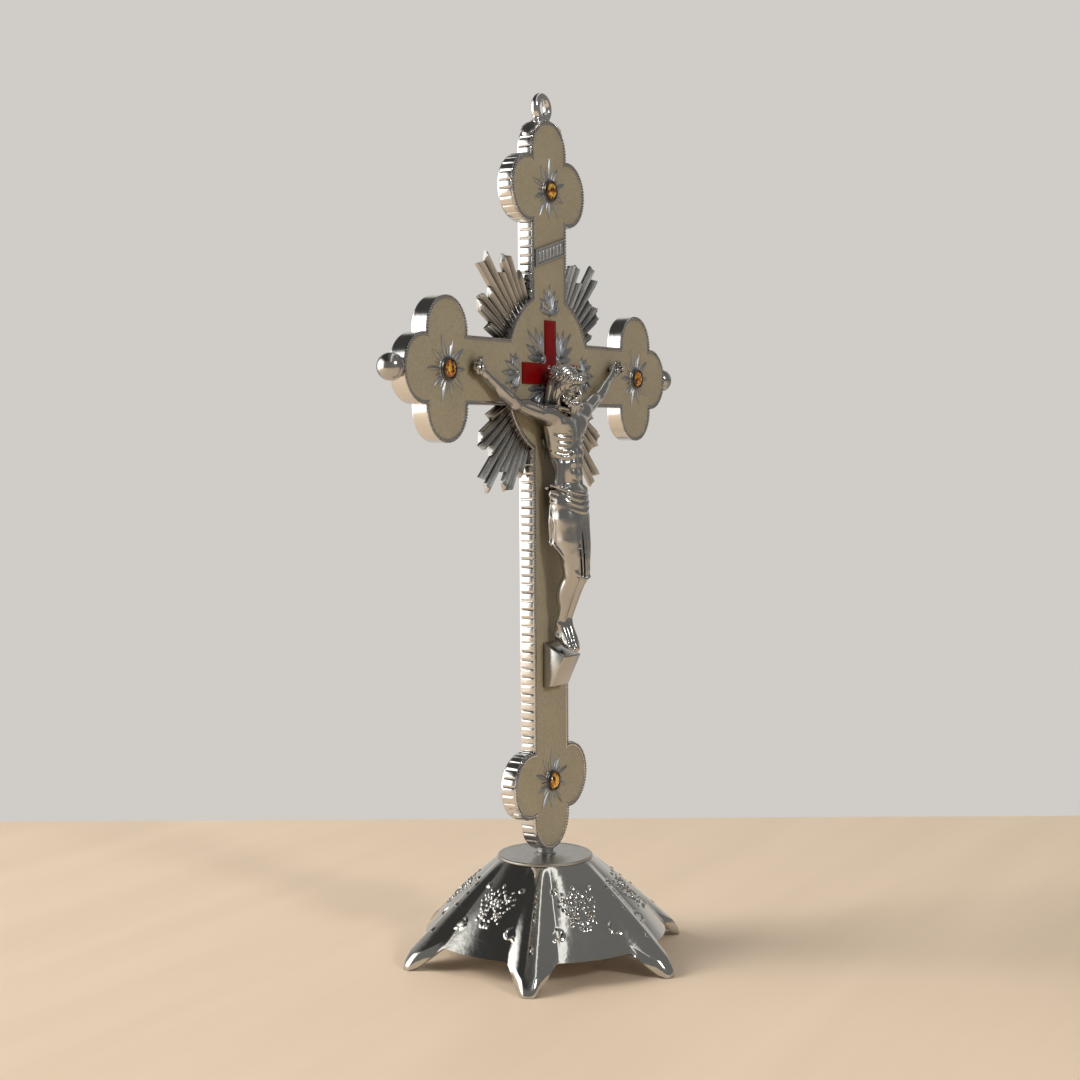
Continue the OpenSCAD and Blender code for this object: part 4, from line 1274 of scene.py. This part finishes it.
def model_wreath(clay):
    """A thick wreath of twisted thorny stems that covers the brow and most of the crown of the head."""
    count, strands, thorns = 72, 5, 44
    for strand in range(strands):
        ring = []
        for k in range(count + 1):
            a = 2 * math.pi * k / count
            twist = 6 * a + 2 * math.pi * strand / strands
            out, up = 0.5 * math.cos(twist), 0.95 * math.sin(twist)
            sideways, forwards = 4.2 + out - 0.3 * up, 4.7 + out - 0.35 * up
            level = 3.0 - 0.2 * math.cos(a) + up
            ring.append(on_head(sideways * math.sin(a), -0.5 + forwards * math.cos(a), level))
        for a, b in zip(ring, ring[1:]):
            clay.cone(a, b, 0.42, 0.42, 0.05)
    for k in range(thorns):
        a = 2 * math.pi * (k + 0.35 * (k % 3)) / thorns
        level = 3.0 + 0.95 * math.sin(2.4 * k)
        lean = 0.7 * math.sin(1.9 * k)
        root = on_head(4.35 * math.sin(a), -0.5 + 4.85 * math.cos(a), level)
        tip = on_head(5.2 * math.sin(a + 0.1), -0.5 + 5.7 * math.cos(a + 0.1), level + lean)
        clay.cone(root, tip, 0.4, 0.14, 0.12)


def figure_mesh():
    """The whole casting: body on a coarser grid, head and hair on a finer one."""
    behind = FACE - 0.05
    body = Clay((-44, -16.5, 81.5), (40, FACE + 1.2, 169.5), 0.22)
    model_torso(body)
    model_arm(body, -1, (-8.2, -6.7, 150.3), (-24.2, -6.0, 153.3), (-36.0, -4.6, 160.7), (-38.3, -4.0, 162.4))
    model_arm(body, 1, (8.2, -7.2, 151.0), (20.9, -6.0, 156.1), (31.4, -4.6, 162.3), (33.8, -4.0, 163.7))
    model_legs(body)
    model_cloth(body)
    head = HeadClay((-11.5, -16.5, 148.5), (6.5, FACE + 1.2, 166.5), 0.15)
    head.cone((-0.6, -8.0, 152.5), on_head(0, -0.4, -2.6), 2.0, 2.1, 0.8)
    model_face(head)
    for model in (model_beard, model_hair):
        layer = HeadClay(head.low, head.axes_end, head.pitch)
        model(layer)
        head.field = smin(head.field, layer.field, 0.12)
    model_locks(head)
    model_wreath(head)
    heap = Heap()
    for clay in (body, head):
        cut, x, y, z = clay.window(clay.low, clay.low + clay.pitch * clay.size, 0)
        clay.stroke(cut, (y - behind + 0 * x + 0 * z).astype(np.float32), 0.0, "keep")
    low, high = box_mm("foot_block")
    cut, x, y, z = body.window((-9, -16, 80), (9, 0, 92), 0)
    slope = -BLOCK_FALL / (low[1] - FACE)
    above = (z - (high[2] + slope * (y - FACE))) / math.hypot(1, slope)
    in_front = (low[1] - 0.15) - y
    body.stroke(cut, np.minimum(-above, -in_front) + 0 * x, 0.1, "keep")
    body.soften()
    for clay in (body, head):
        heap.add(*clay.mesh())
    return heap.merged()


mesh_object("corpus_cast", *figure_mesh(), figure_metal, "figure_chrome", ["corpus"], smooth=180)

# ---- The base ----

skirt_low, skirt_high = box_mm("base_skirt")
cap_low, cap_high = box_mm("base_cap")
BASE_TURN = -5.5
SKIRT_TOP, CAP_R, FOOT_R = skirt_high[2], cap_high[0], -skirt_low[1] / math.cos(math.radians(2.5))
SHEET, PANEL_R, HEM_Z, TOE, TOE_Z = 0.9, 33.4, 6.4, 2.2, 4.4
BEND = 0.88  # share of the way down at which a ridge turns into its foot


def crest(off):
    """1 along the crest of a ridge, falling smoothly to 0 in the panels."""
    u = np.clip((np.abs(off) - 1.6) / 11, 0, 1)
    return 1 - u * u * (3 - 2 * u)


def skirt_point(s, off):
    """Radius and height of the sheet, s from the cap (0) to the edge (1), off degrees from a crest."""
    k = np.minimum(s / BEND, 1)
    end = np.clip((s - BEND) / 0.12, 0, 1)
    toe_r = FOOT_R - TOE * (1 - np.sin(end * math.pi / 2))
    ridge_r = np.where(s < BEND, CAP_R + (FOOT_R - TOE - CAP_R) * k, toe_r)
    ridge_z = np.where(s < BEND, SKIRT_TOP - (SKIRT_TOP - TOE_Z) * k ** 1.06, TOE_Z * (1 - end))
    panel_r = CAP_R + (PANEL_R - CAP_R) * s
    panel_z = SKIRT_TOP - (SKIRT_TOP - HEM_Z) * np.maximum(s, 1e-6) ** 0.94
    ridge_r = ridge_r - 1.5 * np.clip(np.abs(off) / 4.5, 0, 1) ** 2.2 * end
    w = crest(off)
    down = np.minimum(s, 1)
    ripple = 0.22 * np.cos(np.radians((30 - np.abs(off)) * 6.5)) * np.sin(math.pi * down ** 0.8)
    swell = (ripple + 0.9 * np.sin(math.pi * down ** 0.9) + 0.3 * s * s) * (1 - w)
    return ridge_r * w + panel_r * (1 - w) + 0.6 * swell, ridge_z * w + panel_z * (1 - w) + 0.8 * swell


PETALS = []


def flower(h, v, petals, reach, size):
    """A round centre with a ring of petals, h across and v down a panel."""
    height = 0.42
    PETALS.append((h, v, 0.45, 0.45, 0, height))
    for k in range(petals):
        a = 2 * math.pi * k / petals + 0.3
        PETALS.append((h + reach * math.sin(a), v + reach * math.cos(a), size * 0.6, size * 0.9, a, height))


flower(0, 12.6, 6, 1.3, 0.66)
for side in (-1, 1):
    flower(3.0 * side, 11.0, 5, 0.95, 0.5)
    flower(2.3 * side, 16.2, 5, 1.0, 0.54)
    for h, v, r in (
        (1.0, 8.6, 0.42), (1.8, 9.6, 0.34), (4.5, 13.4, 0.42), (3.9, 14.7, 0.34), (1.2, 14.6, 0.34),
        (4.9, 10.6, 0.34), (3.6, 8.6, 0.3), (3.6, 18.2, 0.32), (0.8, 17.8, 0.36), (5.3, 12.2, 0.28),
        (2.4, 13.4, 0.3),
    ):
        PETALS.append((h * side, v, r, r, 0, 0.3))
    PETALS.append((1.2 * side, 19.6, 0.34, 0.75, -0.7 * side, 0.3))
    PETALS.append((5.6 * side, 7.6, 0.85, 0.85, 0, 0.4))
PETALS += [(0, 7.0, 0.4, 0.6, 0, 0.32), (0, 9.6, 0.36, 0.5, 0, 0.3), (0, 19.4, 0.42, 0.75, 0, 0.32)]


def relief(h, v):
    """Height of the pressed ornament of one panel, h across from its middle and v down from the cap."""
    out = np.zeros_like(h)
    for ph, pv, wide, long, turn, height in PETALS:
        a, b = h - ph, v - pv
        p = (a * math.cos(turn) - b * math.sin(turn)) / wide
        q = (a * math.sin(turn) + b * math.cos(turn)) / long
        out = np.maximum(out, height * np.sqrt(np.clip(1.0 - p * p - q * q, 0, 1)))
    for side in (-1, 1):
        a, b = h - 8.6 * side, v - 20.4
        r, turn = np.hypot(a, b), np.arctan2(b, a * side)
        arc_share = np.clip((np.cos(turn - 2.6) + 0.55) / 0.5, 0, 1)
        out = np.maximum(out, 0.34 * arc_share * np.sqrt(np.clip(1 - ((r - 1.7) / 0.32) ** 2, 0, 1)))
        out = np.maximum(out, 0.16 * np.sqrt(np.clip(1 - (r / 1.3) ** 2, 0, 1)))
    return out


def skirt_mesh():
    """The pressed sheet: ornamented outside, folded hem, plain inside."""
    turns = 660
    t = np.linspace(0, 360, turns, endpoint=False)
    off = (t + 30) % 60 - 30
    slope_len = math.hypot(PANEL_R - CAP_R, SKIRT_TOP - HEM_Z)
    rings = []

    def ring(s, shift=(0, 0), pressed=False):
        r, z = skirt_point(np.full(turns, s), off)
        from_middle = np.sign(off) * (30 - np.abs(off))
        bump = 0
        if pressed:
            bump = relief(-r * np.sin(np.radians(from_middle)), np.full(turns, s * slope_len))
        r = r - shift[0] + bump * 0.62
        z = z - shift[1] + bump * 0.78
        a = np.radians(t + BASE_TURN)
        rings.append(np.column_stack([r * np.sin(a), -r * np.cos(a), z]))

    for s in np.linspace(0, BEND, 90, endpoint=False):
        ring(s, pressed=True)
    for s in np.linspace(BEND, 1, 14):
        ring(s)
    for inward in (0.05, SHEET - 0.1, SHEET):
        ring(1.0, (inward, 0))
    for s in np.linspace(1, 0.0, 14)[1:-1]:
        ring(s, (SHEET * 0.75, SHEET * 0.62))
    ring(0.0, (SHEET, 0))
    return np.vstack(rings), wrapped_faces(len(rings), turns)


mesh_object("skirt_pressed", *skirt_mesh(), base_metal, "base_chrome", ["base_skirt"], smooth=40)


def cap_mesh():
    """The flat disc that closes the skirt, with a rolled edge and a shallow step inside it."""
    top, low, r = cap_high[2], cap_low[2], CAP_R
    turns = 128
    profile = [(1.3, low), (r - 0.2, low), (r - 0.04, low + 0.1), (r, low + 0.35), (r - 0.08, top - 0.2)]
    profile += [(r - 0.3, top - 0.04), (r - 0.6, top), (r - 1.1, top - 0.02), (r - 1.3, top - 0.1)]
    profile += [(r - 1.6, top - 0.12), (4.6, top - 0.1), (3.9, top - 0.06), (3.3, top), (1.3, top)]
    points, faces = lathe(profile, turns)
    last = len(points) - turns
    faces += [(i, (i + 1) % turns, last + (i + 1) % turns, last + i)[::-1] for i in range(turns)]
    return points, faces


mesh_object("cap_disc", *cap_mesh(), cap_metal, "base_chrome", ["base_cap"], smooth=30)


def collar_mesh():
    """The small turned neck between the disc and the lowest lobe."""
    low, high = box_mm("neck_collar")
    r, z = high[0], low[2]
    waist = [(0, 0), (0, 0.25), (0.35, 0.45), (0.7, 0.8), (0.75, 1.1), (0.4, 1.4), (0.2, 1.7)]
    profile = [(0, z)] + [(r - inward, z + up) for inward, up in waist]
    return lathe(profile + [(r - 0.3, high[2]), (0, high[2])], 48)


mesh_object("neck_turned", *collar_mesh(), steel, "fixing_steel", ["neck_collar"])


def stud_mesh():
    """The threaded stud that draws the cross down on its base."""
    low, high = box_mm("fixing_stud")
    r, pitch, depth, turns = high[0], 0.45, 0.26, 24
    rings = []
    for z in np.arange(low[2], high[2], pitch / 6):
        ring = []
        for i in range(turns):
            a = 2 * math.pi * i / turns
            wave = abs(((z / pitch - i / turns) % 1.0) * 2 - 1)
            ring.append(((r - depth * wave) * math.cos(a), (r - depth * wave) * math.sin(a), z))
        rings.append(ring)
    rings.append([(0.8 * r * math.cos(a), 0.8 * r * math.sin(a), high[2]) for a in full_turn(turns)])
    return lofted(rings)


mesh_object("stud_threaded", *stud_mesh(), steel, "fixing_steel", ["fixing_stud"], smooth=20)

for node, material in (("face_panel", face_resin), ("fixing_washer", steel), ("fixing_nut", steel)):
    carried = bpy.data.objects[node]
    carried.data.materials.clear()
    carried.data.materials.append(material)

# ---- Stage, light and camera ----


VIEW = Vector((0.85662, 0.51472, -0.03562)).normalized()
ahead = Vector((VIEW[0], VIEW[1], 0)).normalized()
across = Vector((ahead[1], -ahead[0], 0))
TABLE_END = 0.165
TABLE = ((0.8, 0.64, 0.475), (0.86, 0.69, 0.52))
WALL = (0.63, 0.605, 0.575)


def floor_paint():
    """Pale warm floor with a faint grain."""
    shade = Shader("floor_paint", Roughness=0.5, Specular_IOR_Level=0.2)
    grain = shade.noise(0.05, 4, (5, 0.5, 1))
    shade.feed(shade.ramp(grain, [(0.3, TABLE[0]), (0.7, TABLE[1])]), "Base Color")
    return shade.material


edge = ahead * TABLE_END
near = ahead * -0.62
floor_mesh = bpy.data.meshes.new("floor")
corners = [near + across * -0.7, near + across * 1.4, edge + across * 1.4, edge + across * -0.7]
floor_mesh.from_pydata([tuple(corner) for corner in corners], [], [(0, 1, 2, 3)])
floor_mesh.materials.append(floor_paint())
floor = bpy.data.objects.new("floor", floor_mesh)
bpy.context.scene.collection.objects.link(floor)

world = bpy.data.worlds.new("studio")
bpy.context.scene.world = world
world.use_nodes = True
tree = world.node_tree
sky = tree.nodes["Background"]
way = tree.nodes.new("ShaderNodeTexCoord").outputs["Generated"]


def sky_share(direction, low, high):
    """0 to 1 as the direction looked in turns towards direction, from cosine low to cosine high."""
    dot = tree.nodes.new("ShaderNodeVectorMath")
    dot.operation = "DOT_PRODUCT"
    dot.inputs[1].default_value = Vector(direction).normalized()
    tree.links.new(way, dot.inputs[0])
    spread = tree.nodes.new("ShaderNodeMapRange")
    spread.interpolation_type = "SMOOTHSTEP"
    spread.inputs["From Min"].default_value = low
    spread.inputs["From Max"].default_value = high
    tree.links.new(dot.outputs["Value"], spread.inputs["Value"])
    return spread.outputs["Result"]


def sky_mix(share, first, second):
    made = tree.nodes.new("ShaderNodeMix")
    made.data_type = "RGBA"
    tree.links.new(share, made.inputs[0])
    for value, socket in ((first, made.inputs[6]), (second, made.inputs[7])):
        if isinstance(value, tuple):
            socket.default_value = (*value, 1)
        else:
            tree.links.new(value, socket)
    return made.outputs[2]


dim, below = (0.2, 0.193, 0.183), (0.24, 0.215, 0.19)
overhead_left, overhead_strip, overhead_right = (0.05, 0.049, 0.046), (1.5, 1.47, 1.4), (0.2, 0.195, 0.185)
ceiling = sky_mix(sky_share(across, -0.3, 0.08), overhead_left, overhead_right)
ceiling = sky_mix(sky_share(across, 0.1, 0.125), ceiling, overhead_strip)
ceiling = sky_mix(sky_share(across, 0.2, 0.23), ceiling, overhead_right)
room = sky_mix(sky_share((0, 0, -1), 0.0, 0.12), dim, below)
behind = sky_mix(sky_share(ahead, 0.6, 0.9), room, WALL)
lit = sky_mix(sky_share((-0.54, 0.84, 0.12), 0.74, 0.86), behind, (2.3, 2.25, 2.15))
surround = sky_mix(sky_share((0, 0, 1), 0.5, 0.72), lit, ceiling)
camera_ray = tree.nodes.new("ShaderNodeLightPath").outputs["Is Camera Ray"]
tree.links.new(sky_mix(camera_ray, surround, WALL), sky.inputs["Color"])


def soft_light(name, place, size, power, mirrored):
    lamp = bpy.data.lights.new(name, "AREA")
    lamp.shape, lamp.size, lamp.size_y, lamp.energy = "RECTANGLE", size[0], size[1], power
    lamp.color = (1, 0.975, 0.94)
    made = bpy.data.objects.new(name, lamp)
    bpy.context.scene.collection.objects.link(made)
    made.location = place
    made.rotation_euler = (Vector((0, 0, 0.1)) - Vector(place)).to_track_quat("-Z", "Y").to_euler()
    made.visible_glossy = mirrored


soft_light("key", (-0.75, 0.95, 0.85), (0.7, 0.7), 15.5, False)
soft_light("front", (-0.25, -1.1, 0.75), (0.22, 0.22), 4.2, True)

lens = bpy.data.cameras.new("photo_view")
camera = bpy.data.objects.new("photo_view", lens)
bpy.context.scene.collection.objects.link(camera)
camera.location = (-0.40875, -0.24561, 0.14520)
camera.rotation_mode = "QUATERNION"
camera.rotation_quaternion = VIEW.to_track_quat("-Z", "Y") @ Quaternion((0, 0, 1), math.radians(-0.304))
lens.sensor_width = 36
lens.lens = 57.03
lens.shift_x, lens.shift_y = -0.0031, -0.0415
lens.clip_start = 0.01
bpy.context.scene.camera = camera
bpy.context.scene.view_settings.view_transform = "Standard"

bpy.context.view_layer.update()
